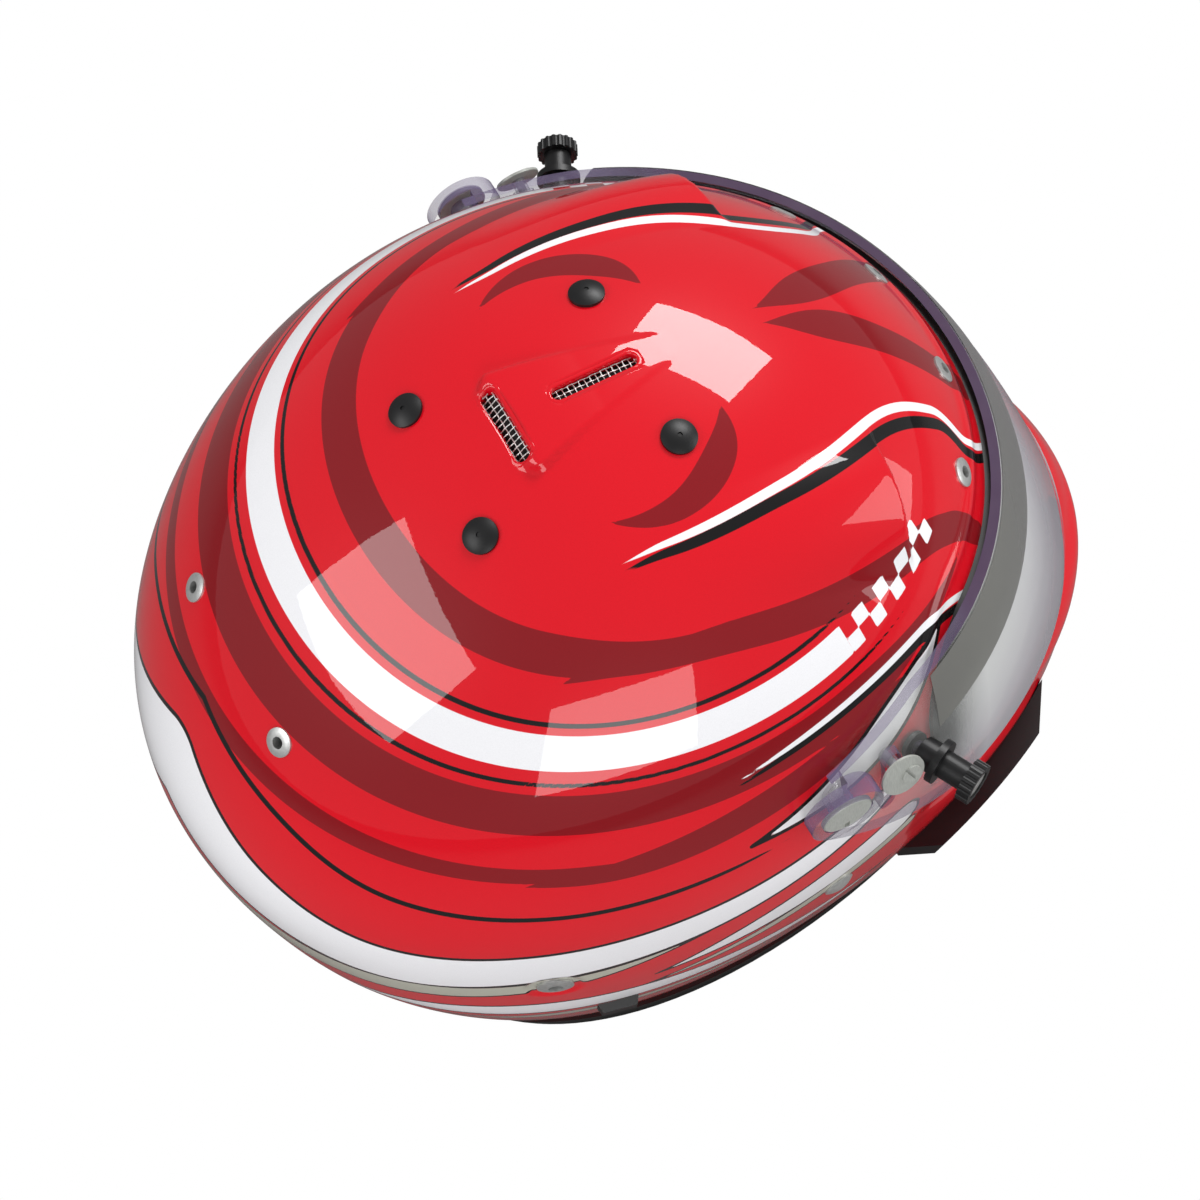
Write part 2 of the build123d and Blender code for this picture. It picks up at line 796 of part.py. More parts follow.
# Dark sun strip on the outside of the visor, along its top edge
with BuildPart() as sun_strip:
    with BuildSketch(side_plane):
        with BuildLine():
            Polyline(
                (-strip_rear, top_line(-strip_rear, visor_overlap - strip_thickness)),
                (-strip_rear, top_line(-strip_rear, visor_overlap - strip_height)),
                (-far_ahead, top_line(-far_ahead, visor_overlap - strip_height)),
                (-far_ahead, top_line(-far_ahead, visor_overlap - strip_thickness)),
                close=True,
            )
        make_face()
    extrude(amount=far_side, both=True)
    add(skin(-visor_gap - visor_thickness - strip_thickness), mode=Mode.INTERSECT)
    add(visor_outer, mode=Mode.SUBTRACT)
save(sun_strip.part, "visor_sun_strip")

# Visor pivot: running bush on the shell, head screw flush in the ear, nut inside the shell
pivot_foot = pivot_seat.origin.X - ear_inner
with BuildPart() as pivot_bush:
    add(rod(ear_plane, bush_radius, ear_floor + running_fit, overrun, pivot_shank_radius))
    add(outer_skin, mode=Mode.SUBTRACT)
save_pair(pivot_bush.part, "visor_pivot_bush")

with BuildPart() as pivot_screw:
    head_plane = ear_plane.offset(ear_floor + running_fit)
    add(rod(head_plane, pivot_head_radius, head_thickness, 0.0))
    chamfer(pivot_screw.edges().filter_by(GeomType.CIRCLE).sort_by(Axis.X)[-1], head_rim_round)
    with BuildSketch(head_plane.offset(head_thickness)):
        with Locations((0, -head_notch_offset)):
            Rectangle(head_notch_width, head_notch_length)
    extrude(amount=-head_notch_depth, mode=Mode.SUBTRACT)
    add(rod(head_plane, pivot_shank_radius, head_thickness / 2, ear_floor - pivot_foot + wall + nut_depth))
save_pair(pivot_screw.part, "visor_pivot_screw")

with BuildPart() as pivot_nut:
    nut_below = wall + nut_depth
    add(rod(pivot_seat, pivot_nut_radius, wall, nut_below, pivot_shank_radius))
    add(inner_skin, mode=Mode.INTERSECT)
save_pair(pivot_nut.part, "visor_pivot_nut")

# Visor guide: bush through the visor's slot, tilted head screw over it, nut inside the shell
with BuildPart() as guide_bush:
    add(rod(guide_plane, guide_bush_radius, guide_stand, overrun, guide_shank_radius))
    add(outer_skin, mode=Mode.SUBTRACT)
save_pair(guide_bush.part, "visor_guide_bush")

guide_reach = visor_gap + visor_thickness + wall
with BuildPart() as guide_screw:
    add(button(guide_plane.offset(guide_stand), guide_head_radius, head_thickness / 2, head_thickness, 0.0))
    with BuildSketch(guide_plane.offset(guide_stand + head_thickness / 2)):
        with Locations((-insert_offset, 0)):
            Circle(insert_radius)
    extrude(amount=head_thickness / 2 + insert_rise)
    with BuildSketch(guide_plane.offset(guide_stand + head_thickness + insert_rise)):
        with Locations((-insert_offset, 0)):
            Rectangle(insert_slot_width, 2 * insert_radius, rotation=-post_yaw)
    extrude(amount=-head_notch_depth, mode=Mode.SUBTRACT)
    add(rod(guide_plane, guide_shank_radius, guide_stand + head_thickness / 2, guide_reach + nut_depth))
save_pair(guide_screw.part, "visor_guide_screw")

with BuildPart() as guide_nut:
    add(rod(guide_plane, guide_nut_radius, 0.0, guide_reach + nut_depth, guide_shank_radius))
    add(inner_skin, mode=Mode.INTERSECT)
save_pair(guide_nut.part, "visor_guide_nut")

# Tear-off posts: base through the visor, turning knob on its spigot, nut behind the sheet
base_top = post_foot_height + post_flange_height + post_barrel_height
with BuildPart() as post_base:
    add(rod(post_plane, post_foot_radius, post_foot_height, post_foot_radius))
    add(rod(post_plane.offset(post_foot_height), post_flange_radius, post_flange_height, 0.0))
    add(rod(post_plane.offset(post_foot_height), post_barrel_radius, base_top - post_foot_height, 0.0))
    add(visor_outer, mode=Mode.SUBTRACT)
    add(rod(post_plane.offset(base_top), post_spigot_radius, post_spigot_length, 0.0))
    add(rod(post_plane, post_shank_radius, post_foot_height, visor_thickness + post_nut_height))
save_pair(post_base.part, "tearoff_post_base")

with BuildPart() as post_nut:
    add(rod(post_plane, post_nut_radius, 0.0, visor_thickness + post_nut_radius, post_shank_radius))
    add(visor_inner, mode=Mode.INTERSECT)
    add(skin(post_nut_height - visor_gap), mode=Mode.SUBTRACT)
save_pair(post_nut.part, "tearoff_post_nut")

knob_plane = post_plane.offset(base_top + post_knob_gap)
with BuildPart() as post_knob:
    with BuildSketch(knob_plane):
        Circle(post_knob_radius)
        with PolarLocations(post_knob_radius + knob_flat_depth, knob_flats):
            Circle(2 * knob_flat_depth, mode=Mode.SUBTRACT)
    extrude(amount=post_knob_height)
    with BuildSketch(knob_plane.offset(post_knob_height)):
        Circle(post_face_radius)
    extrude(amount=-post_face_depth, mode=Mode.SUBTRACT)
    with BuildSketch(knob_plane):
        Circle(post_spigot_radius + running_fit)
    extrude(amount=post_spigot_length, mode=Mode.SUBTRACT)
save_pair(post_knob.part, "tearoff_knob")

face_plane = knob_plane.offset(post_knob_height - post_face_depth)
save_pair(rod(face_plane, post_face_radius, post_face_depth / 2, 0.0), "tearoff_knob_face")

# Foam liner, with pockets behind the hardware, strap channels and vent bores
channel_front = -rivet_ahead - strap_width / 2 - channel_margin
channel_rear = -rivet_ahead + strap_width / 2 + 2 * channel_margin
channel_top = rivet_height + strap_top_margin + channel_margin
strap_box = side_box(channel_front, channel_rear, -overrun, channel_top)
channel_depth = wall + strap_gap + strap_thickness + washer_thickness + 2 * channel_margin
liner_hollow = skin(wall + liner_gap + liner_thickness, liner_thinning)
with BuildPart() as left_pockets:
    add(rod(front_plug_seat, plug_stem_radius + channel_margin, 0.0, plug_stem_length + channel_margin))
    add(rod(rear_plug_seat, plug_stem_radius + channel_margin, 0.0, plug_stem_length + channel_margin))
    add(rod(inner_eyelet_seat, eyelet_barrel + running_fit, 0.0, vent_reach))
    add(rod(outer_eyelet_seat, eyelet_barrel + running_fit, 0.0, vent_reach))
    add(rod(rear_eyelet_seat, eyelet_barrel + running_fit, 0.0, vent_reach))
    add(rod(anchor_seat, anchor_barrel + running_fit, 0.0, anchor_depth + channel_margin))
    add(rod(pivot_seat, pivot_nut_radius + channel_margin, 0.0, wall + nut_depth + channel_margin))
    add(rod(guide_plane, guide_nut_radius + channel_margin, 0.0, guide_reach + nut_depth + channel_margin))
pockets = both(left_pockets.part)

with BuildPart() as strap_channels:
    add(strap_box)
    add(skin(channel_depth), mode=Mode.SUBTRACT)
bend_channel = side_box(channel_front, channel_rear, -overrun, strap_level + strap_bend + channel_margin)

# Seams that part the liner into foam blocks, each laid in its own place
with BuildPart() as liner_seams:
    with BuildSketch(Plane(origin=(0, crown_y, 0))):
        with PolarLocations(0, liner_cuts, start_angle=liner_turn, angular_range=180):
            Rectangle(4 * half_width, liner_gap)
    extrude(amount=shell_height)
    for level in liner_levels:
        add(side_box(-far_ahead, far_behind, level, level + liner_gap))

liner_skin = skin(wall + liner_gap)
with BuildPart() as eps_liner:
    add(side_box(-liner_front, far_behind, liner_foot, shell_height))
    add(side_box(-far_ahead, far_behind, liner_front_top, shell_height))
    add(liner_skin, mode=Mode.INTERSECT)
    add(liner_hollow, mode=Mode.SUBTRACT)
    add(eyeport_prism(gasket_cover + liner_eyeport_margin), mode=Mode.SUBTRACT)
    add(pockets, mode=Mode.SUBTRACT)
    add(strap_channels.part, mode=Mode.SUBTRACT)
    add(bend_channel, mode=Mode.SUBTRACT)
    add(liner_seams.part, mode=Mode.SUBTRACT)
save(eps_liner.part, "eps_liner")

with BuildPart() as chin_bar_eps:
    add(side_box(-far_ahead, -chin_liner_front, chin_liner_foot, liner_front_top))
    add(liner_skin, mode=Mode.INTERSECT)
    add(skin(wall + liner_gap + chin_liner_thickness), mode=Mode.SUBTRACT)
    add(eyeport_prism(sill_margin), mode=Mode.SUBTRACT)
save(chin_bar_eps.part, "chin_bar_eps")

with BuildPart() as chin_bar_pad:
    add(side_box(-far_ahead, -chin_liner_front, chin_pad_foot, chin_pad_top))
    add(skin(wall + 2 * liner_gap + chin_liner_thickness), mode=Mode.INTERSECT)
    add(skin(wall + 2 * liner_gap + chin_liner_thickness + chin_pad_thickness), mode=Mode.SUBTRACT)
save(chin_bar_pad.part, "chin_bar_pad")

# Pads against the liner, with seams sunk into their inner faces
pad_outer = skin(wall + 2 * liner_gap + liner_thickness, liner_thinning)
pad_inner = skin(wall + 2 * liner_gap + liner_thickness + pad_thickness, liner_thinning)
seam_floor = skin(wall + 2 * liner_gap + liner_thickness + pad_thickness - seam_depth, liner_thinning)
with BuildPart() as crown_seams:
    with BuildSketch(Plane(origin=(0, crown_y, crown_pad_foot))):
        with PolarLocations(0, seam_count, angular_range=180):
            Rectangle(4 * half_width, seam_width)
    extrude(amount=shell_height - crown_pad_foot)
    add(seam_floor, mode=Mode.INTERSECT)
with BuildPart() as crown_pad:
    add(side_box(-far_ahead, far_behind, crown_pad_foot, shell_height))
    add(pad_outer, mode=Mode.INTERSECT)
    add(pad_inner, mode=Mode.SUBTRACT)
    add(crown_seams.part, mode=Mode.SUBTRACT)
    add(pockets, mode=Mode.SUBTRACT)
save(crown_pad.part, "crown_pad")

with BuildPart() as band_seams:
    with BuildSketch(Plane(origin=(0, crown_y, band_pad_foot))):
        with PolarLocations(0, seam_count, start_angle=seam_start, angular_range=180):
            Rectangle(4 * half_width, seam_width)
    extrude(amount=band_pad_top - band_pad_foot)
    add(seam_floor, mode=Mode.INTERSECT)
with BuildPart() as side_pad:
    add(side_box(-band_pad_front, far_behind, band_pad_foot, band_pad_top))
    add(pad_outer, mode=Mode.INTERSECT)
    add(pad_inner, mode=Mode.SUBTRACT)
    add(band_seams.part, mode=Mode.SUBTRACT)
save(side_pad.part, "side_pad")

with BuildPart() as neck_roll:
    add(side_box(neck_front, far_behind, neck_foot, neck_top))
    add(pad_outer, mode=Mode.INTERSECT)
    add(skin(wall + 2 * liner_gap + liner_thickness + neck_thickness, liner_thinning), mode=Mode.SUBTRACT)
save(neck_roll.part, "neck_roll")

with BuildPart() as cheek_pad:
    with BuildSketch(side_plane.offset(cheek_inner)):
        with Locations(((cheek_rear - cheek_front) / 2, (cheek_foot + cheek_top) / 2)):
            RectangleRounded(cheek_front + cheek_rear, cheek_top - cheek_foot, 2 * cheek_round)
    extrude(amount=far_side - cheek_inner)
    fillet(cheek_pad.faces().sort_by(Axis.X)[0].edges(), cheek_round)
    add(pad_outer, mode=Mode.INTERSECT)
save_pair(cheek_pad.part, "cheek_pad")

# Chin strap: webbing down the shell's wall, round a bend and inwards, ending in a loop
strap_inset = wall + strap_gap + strap_thickness / 2
strap_out = rivet_seat.x_dir.cross(Vector(0, 0, 1)).normalized()
strap_root = Vector(*skin_point(rivet_height, rivet_bearing, strap_inset)) - Vector(0, 0, rivet_height)
strap_plane = Plane(origin=strap_root, x_dir=strap_out, z_dir=strap_out.cross(Vector(0, 0, 1)))


def strap_wall(height):
    """Point of the webbing's middle against the shell's wall, in the strap's own plane."""
    point = Vector(*skin_point(height, bearing_at(-rivet_ahead, height), strap_inset))
    return (point - strap_root).dot(strap_out), height


loop_bore = ring_spacing / 2 + ring_wire_radius + ring_clearance
loop_radius = loop_bore + strap_thickness
run_end = (strap_end - strap_root.X) / strap_out.X
loop_middle = run_end - loop_radius + strap_thickness / 2
loop_centre = strap_plane.from_local_coords(Vector(loop_middle, strap_level, 0))

with BuildPart() as strap:
    with BuildSketch(strap_plane):
        with BuildLine():
            FilletPolyline(
                strap_wall(rivet_height + strap_top_margin),
                strap_wall(rivet_height),
                strap_wall((rivet_height + chin_foot) / 2),
                strap_wall(chin_foot),
                (strap_wall(strap_level)[0], strap_level),
                (run_end, strap_level),
                radius=strap_bend,
            )
        trace(line_width=strap_thickness)
        with Locations((loop_middle, strap_level)):
            Circle(loop_radius)
            Circle(loop_bore, mode=Mode.SUBTRACT)
    extrude(amount=strap_width / 2, both=True)
    add(rod(rivet_seat, rivet_shank + running_fit, overrun, overrun), mode=Mode.SUBTRACT)
save_pair(strap.part, "chin_strap")

# Double D-rings in the left loop
ring_half = ring_inner_width / 2 + ring_wire_radius
for level, label in ((ring_spacing / 2, "d_ring_upper"), (-ring_spacing / 2, "d_ring_lower")):
    with BuildPart() as ring:
        with BuildLine() as ring_path:
            Line((0, ring_corner - ring_half), (0, ring_half - ring_corner))
            TangentArc((0, ring_half - ring_corner), (-ring_corner, ring_half), tangent=(0, 1))
            Line((-ring_corner, ring_half), (-ring_leg, ring_half))
            TangentArc((-ring_leg, ring_half), (-ring_leg, -ring_half), tangent=(-1, 0))
            Line((-ring_leg, -ring_half), (-ring_corner, -ring_half))
            TangentArc((-ring_corner, -ring_half), (0, ring_corner - ring_half), tangent=(1, 0))
        with BuildSketch(Plane.XZ):
            Circle(ring_wire_radius)
        sweep(path=ring_path.wires()[0])
    ring_plane = Plane(origin=loop_centre + Vector(0, 0, level), x_dir=strap_out, z_dir=(0, 0, 1))
    save(ring.part.moved(ring_plane.location), label)

# Snap on the right half of the strap
snap_seat = loop_centre + strap_out * snap_inset + Vector(0, 0, strap_thickness / 2)
save(mirror(rod(Plane(origin=snap_seat), snap_radius, snap_height, 0.0), about=Plane.YZ), "strap_snap")

# Strap rivets: dome outside, shank through shell and strap, washer inside
rivet_stack = wall + strap_gap + strap_thickness
with BuildPart() as rivet:
    add(button(rivet_seat, rivet_radius, rivet_rim, rivet_rise, rivet_radius / 2))
    add(outer_skin, mode=Mode.SUBTRACT)
    add(rod(rivet_seat, rivet_shank, rivet_rim, rivet_stack + washer_gap + washer_thickness))
    add(rod(rivet_seat.offset(-rivet_stack - washer_gap), rivet_washer, 0.0, washer_thickness))
save_pair(rivet.part, "strap_rivet")
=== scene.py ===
import math
import bpy
import numpy as np
from mathutils import Matrix, Vector


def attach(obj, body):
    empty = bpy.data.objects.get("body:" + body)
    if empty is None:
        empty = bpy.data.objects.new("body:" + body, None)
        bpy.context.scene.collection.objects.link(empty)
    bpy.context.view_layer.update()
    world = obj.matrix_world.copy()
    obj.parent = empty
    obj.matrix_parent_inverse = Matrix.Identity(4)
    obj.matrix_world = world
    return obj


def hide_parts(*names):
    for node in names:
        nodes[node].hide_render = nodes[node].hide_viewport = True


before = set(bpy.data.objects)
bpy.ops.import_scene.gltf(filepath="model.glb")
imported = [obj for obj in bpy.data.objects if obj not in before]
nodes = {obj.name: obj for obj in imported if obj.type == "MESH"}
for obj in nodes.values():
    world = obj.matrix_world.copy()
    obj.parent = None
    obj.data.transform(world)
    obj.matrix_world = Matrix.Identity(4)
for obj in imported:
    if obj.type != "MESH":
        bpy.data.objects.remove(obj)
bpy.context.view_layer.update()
MM = 0.001
CROWN = 7.0  # the crown stands this far behind the middle of the box
TOP = 251.0
WIDE_AT, HALF_WIDTH = 130.0, 130.0  # height of the widest girth, and half its width
LONG_AT, REAR = 112.0, 168.0  # height of the longest reach to the rear, and that reach
DOME = TOP - LONG_AT
CHIN_AT, CHIN_DROP, FRONT, CHIN = 84.0, 22.0, 164.0, 18.0  # where the chin starts, how fast, and how far it juts
LAYERS = ("tone", "line", "panel", "stripe")


# ---------------------------------------------------------------- surface, in millimetres

def reach(z, inset=0.0):
    """Half width, front reach, rear reach and crown roundness of the shell at a height."""
    z = np.asarray(z, float)
    top = TOP - inset
    up, low = np.clip((z - WIDE_AT) / (top - WIDE_AT), 0, 1), np.clip(1 - z / WIDE_AT, 0, 1)
    high = (HALF_WIDTH - inset) * np.sqrt(1 - up**2) * (1 + 0.04 * up**2)
    side = np.where(z > WIDE_AT, high, HALF_WIDTH * (1 - 0.2 * low**2) - inset)
    up, low = np.clip((z - LONG_AT) / (top - LONG_AT), 0, 1), np.clip(1 - z / LONG_AT, 0, 1)
    roundness = np.sqrt(1 - up**2)
    high = (REAR - inset) * roundness * (1 - 0.23 * up**2)
    rear = np.where(z > LONG_AT, high, REAR * (1 - 0.3 * low**2) - inset)
    up, drop = np.clip((z - CHIN_AT) / (top - CHIN_AT), 0, 1), np.clip((CHIN_AT - z) / CHIN_DROP, 0, 1)
    high = (FRONT - inset) * np.sqrt(1 - up**2) * (1 - 0.36 * up + 0.38 * up**2)
    start = 0.36 * FRONT / (TOP - CHIN_AT) * CHIN_DROP * (drop - 2 * drop**2 + drop**3)
    lower = FRONT + start + CHIN * (3 * drop**2 - 2 * drop**3) - 12 * np.maximum(1 - z / 30, 0) ** 2 - inset
    front = np.where(z > CHIN_AT, high, lower)
    flare = 2.5 * np.maximum(1 - z / 14, 0) ** 2
    return side + flare, front + flare, rear + flare, roundness


def skin(z, bearing, inset=0.0):
    """Points of the shell's skin; the bearing is 0 at the front and 90 at the wearer's left."""
    side, front, rear, roundness = reach(z, inset)
    b = np.radians(bearing)
    a, s = np.cos(b), np.sin(b)
    x = side * s * (1 + 0.025 * a**2)
    y = (rear - front) / 2 * a**2 - (front + rear) / 2 * a * (1 + 0.025 * s**2) + 11 * roundness * s**2
    return np.stack(np.broadcast_arrays(x, CROWN + y, np.asarray(z, float)), -1)


def skin_normal(z, bearing):
    """Outward normal of the skin at one point."""
    step = 0.05
    along = skin(z, bearing + step) - skin(z, bearing - step)
    rise = skin(z + step, bearing) - skin(z - step, bearing)
    n = np.cross(along, rise)
    return n / np.linalg.norm(n)


def smooth(t):
    """Ramp from 0 to 1 with soft ends."""
    t = np.clip(t, 0, 1)
    return t * t * (3 - 2 * t)


def eyeport(p):
    """Signed distance in the side view from the eyeport's rounded outline."""
    corner, sill_height, brow_height = 18.0, 127, 176
    sill, brow = math.radians(18), math.radians(2)
    behind, z = p[:, 1] - CROWN + 60, p[:, 2]
    d = np.stack([
        behind,
        (sill_height + behind * math.tan(sill) - z) * math.cos(sill),
        (z - brow_height - behind * math.tan(brow)) * math.cos(brow),
    ]) + corner
    return np.linalg.norm(np.maximum(d, 0), axis=0) + np.minimum(d.max(0), 0) - corner


def slot_distance(p, centre, half_length, half_width, lengthwise):
    """Signed distance in the top view from a crown slot's outline."""
    x, y = p[:, 0], p[:, 1] - CROWN - centre
    along, across = (y, x) if lengthwise else (x, y)
    along = np.maximum(np.abs(along) - (half_length - half_width), 0)
    return np.hypot(along, across) - half_width


SLOTS = ((3.8, 14.5, 2.3, True), (34.5, 13.5, 2.3, False))  # centre, half length, half width, lengthwise
EYELETS = ((194.1, 10.7), (194.1, 30.3), (181.2, 165.2))  # height, bearing
CREST, TAIL = skin(219.0, 45.0), skin(236.0, 95.0)
HUMP_U = (TAIL - CREST) / np.linalg.norm(TAIL - CREST)
HUMP_V = np.cross(HUMP_U, skin_normal(219.0, 45.0))
HUMP_V = HUMP_V / np.linalg.norm(HUMP_V)
ANCHOR_LEVEL = skin(98.8, np.linspace(0, 180, 721))
ANCHOR = ANCHOR_LEVEL[np.argmin(np.abs(ANCHOR_LEVEL[:, 1] - CROWN - 84.2))]


def raised(p):
    """How far the painted surface stands off the plain skin: wedge, brow humps, bead, grooves and anchor recess."""
    q = np.abs(p[:, 0])
    y = p[:, 1] - CROWN
    half = np.clip(5.5 + 13.3 * (y + 19) / 50.5, 4.5, 18.8) - 3 * smooth((y - 31) / 6)
    lift = np.interp(y, [-24, -19, 6, 31.5, 40], [0.0, 0.3, 0.72, 3.2, 3.5]) * (1 - smooth((y - 31) / 7.5))
    wedge = lift * smooth((half - q + 0.9) / 1.8) * (p[:, 2] > 200)
    m = np.stack([q, p[:, 1], p[:, 2]], -1) - CREST
    u, v = m @ HUMP_U, m @ HUMP_V
    w = np.clip(u / 76, 0, 1)
    across = np.clip(np.abs(v) / (25 * (1 - 0.30 * w)), 0, 1)
    body = 6.6 * (1 - w) ** 1.25 * (1 - across**2.2) ** 1.6
    hump = body * smooth((u + 3.4 + 0.004 * v**2) / 3.4) * (p[:, 2] > 150)
    bead = 0.8 * np.exp(-(((eyeport(p) - 15.0) / 2.2) ** 2)) * smooth((p[:, 2] - 172) / 6)
    below = smooth((128 - p[:, 2]) / 10) * smooth((-50 - y) / 12)
    grooves = 0.9 * below * (np.exp(-(((eyeport(p) - 21) / 2.6) ** 2)) + np.exp(-(((eyeport(p) - 38) / 4.5) ** 2)))
    near = np.linalg.norm(np.stack([q, p[:, 1], p[:, 2]], -1) - ANCHOR, axis=1)
    recess = 0.9 * smooth((10.2 - near) / 1.4)
    return wedge + hump + bead - grooves - recess


# ---------------------------------------------------------------- mesh helpers

def link(name, data):
    """An object that holds this data, in the scene."""
    made = bpy.data.objects.new(name, data)
    bpy.context.scene.collection.objects.link(made)
    return made


def new_object(name, points, faces, material):
    """A smooth-shaded mesh object from points in millimetres."""
    mesh = bpy.data.meshes.new(name)
    mesh.from_pydata((np.asarray(points) * MM).tolist(), [], faces.tolist() if hasattr(faces, "tolist") else faces)
    mesh.polygons.foreach_set("use_smooth", [True] * len(mesh.polygons))
    mesh.materials.append(material)
    mesh.update()
    return link(name, mesh)


def store(made, distances):
    """Keeps the paint layers' distances on the mesh."""
    for layer in LAYERS:
        field = made.data.attributes.new(layer, "FLOAT", "POINT").data
        field.foreach_set("value", distances[layer].astype(np.float32))


def read(items, field):
    """One vector per item of a mesh's vertices or faces."""
    values = np.zeros(len(items) * 3)
    items.foreach_get(field, values)
    return values.reshape(-1, 3)


def dome(n):
    """Directions of a grid on five sides of a box, and its quads."""
    flat = np.tan(np.radians(np.linspace(-45, 45, n + 1)))
    down = np.tan(np.radians(np.linspace(45, -63.5, int(n * 1.2) + 1)))
    dirs, quads, start = [], [], 0
    for k in range(5):
        rows, cols = (flat, flat) if k == 4 else (down, flat)
        r, c = np.meshgrid(rows, cols, indexing="ij")
        if k == 4:
            d = np.stack([c, r, np.ones_like(r)], -1)
        else:
            t = math.pi / 2 * k
            d = np.stack([math.cos(t) - c * math.sin(t), math.sin(t) + c * math.cos(t), r], -1)
        i, j = np.meshgrid(range(len(rows) - 1), range(len(cols) - 1), indexing="ij")
        a = start + i * len(cols) + j
        q = np.stack([a, a + 1, a + len(cols) + 1, a + len(cols)], -1).reshape(-1, 4)
        quads.append(q if k == 4 else q[:, ::-1])
        dirs.append(d.reshape(-1, 3))
        start += d.shape[0] * d.shape[1]
    d = np.concatenate(dirs)
    d = d / np.linalg.norm(d, axis=1, keepdims=True)
    _, first, same = np.unique(np.round(d * 1e6).astype(int), axis=0, return_index=True, return_inverse=True)
    return d[first], same.ravel()[np.concatenate(quads)]


def vertex_normals(p, quads):
    n = np.zeros_like(p)
    face = np.cross(p[quads[:, 2]] - p[quads[:, 0]], p[quads[:, 3]] - p[quads[:, 1]])
    for k in range(4):
        np.add.at(n, quads[:, k], face)
    return n / np.maximum(np.linalg.norm(n, axis=1, keepdims=True), 1e-12)


def curve_through(points, count):
    """Smooth rows through given rows, evenly spaced in parameter."""
    p = np.asarray(points, float)
    q = np.vstack([2 * p[0] - p[1], p, 2 * p[-1] - p[-2]])
    t = np.linspace(0, len(p) - 1 - 1e-9, count)
    i = t.astype(int)
    f = (t - i)[:, None]
    a, b, c, d = q[i], q[i + 1], q[i + 2], q[i + 3]
    return 0.5 * (2 * b + (c - a) * f + (2 * a - 5 * b + 4 * c - d) * f**2 + (3 * b - a - 3 * c + d) * f**3)


def ribbon(p, rows, count=70):
    """Signed distance from a band drawn on the skin; rows hold height, bearing and half width."""
    r = curve_through(rows, count)
    line = skin(r[:, 0], r[:, 1])
    best = np.full(len(p), 1e9, np.float32)
    for k in range(count - 1):
        a, ab = line[k], line[k + 1] - line[k]
        near = np.where(np.abs(p - (a + ab / 2)).max(1) < 45)[0]
        if not len(near):
            continue
        ap = p[near] - a
        t = np.clip(ap @ ab / (ab @ ab), 0, 1)
        d = np.linalg.norm(ap - t[:, None] * ab, axis=1) - (r[k, 2] + t * (r[k + 1, 2] - r[k, 2]))
        best[near] = np.minimum(best[near], d)
    return np.minimum(best, 40)


# ---------------------------------------------------------------- node helpers

class Nodes:
    """Builds one material's node tree."""

    def __init__(self, name):
        self.material = bpy.data.materials.new(name)
        self.material.use_nodes = True
        self.tree = self.material.node_tree
        self.shader = self.tree.nodes["Principled BSDF"]

    def add(self, kind, inputs=(), **settings):
        node = self.tree.nodes.new(kind)
        for key, value in settings.items():
            setattr(node, key, value)
        for key, value in dict(inputs).items():
            self.put(node.inputs[key], value)
        return node

    def put(self, socket, value):
        if isinstance(value, bpy.types.NodeSocket):
            self.tree.links.new(value, socket)
        else:
            socket.default_value = value

    def math(self, operation, a, b=0.0):
        return self.add("ShaderNodeMath", {0: a, 1: b}, operation=operation).outputs[0]

    def place(self):
        return self.add("ShaderNodeTexCoord").outputs["Object"]

    def noise(self, scale, detail=3.0):
        return self.add("ShaderNodeTexNoise", {"Vector": self.place(), "Scale": scale, "Detail": detail}).outputs["Fac"]

    def spread(self, value, low, high, start=0.0, end=1.0):
        """Low to high while the value goes from start to end."""
        span = {"Value": value, "From Min": start, "From Max": end, "To Min": low, "To Max": high}
        return self.add("ShaderNodeMapRange", span).outputs["Result"]

    def mix(self, factor, a, b, **settings):
        return self.add("ShaderNodeMix", {0: factor, 6: a, 7: b}, data_type="RGBA", **settings).outputs[2]

    def bump(self, height, strength, distance, target="Normal"):
        node = self.add("ShaderNodeBump", {"Height": height, "Strength": strength, "Distance": distance})
        self.put(self.shader.inputs[target], node.outputs["Normal"])

    def finish(self, factor, first, second):
        """Ends the material in a blend of two shaders."""
        blend = self.add("ShaderNodeMixShader", {0: factor, 1: first.outputs[0], 2: second.outputs[0]})
        self.put(self.tree.nodes["Material Output"].inputs[0], blend.outputs[0])
        return self.material

    def set(self, **values):
        """Puts values on the main shader's sockets."""
        for key, value in values.items():
            self.put(self.shader.inputs[key.replace("_", " ")], value)
        return self.material


def rgb(code):
    """Linear colour of a hexadecimal one."""
    part = [int(code[i:i + 2], 16) / 255 for i in (0, 2, 4)]
    return tuple((c / 12.92 if c <= 0.04045 else ((c + 0.055) / 1.055) ** 2.4) for c in part) + (1.0,)


def brighter(base, times, more=0.0):
    return tuple(min(1.0, c * times + more) for c in base[:3]) + (1.0,)


RED, DARK, WHITE, BLACK, GREY = rgb("D6061B"), rgb("820A14"), rgb("EDEDF0"), rgb("0C0A0B"), rgb("B4B4A6")


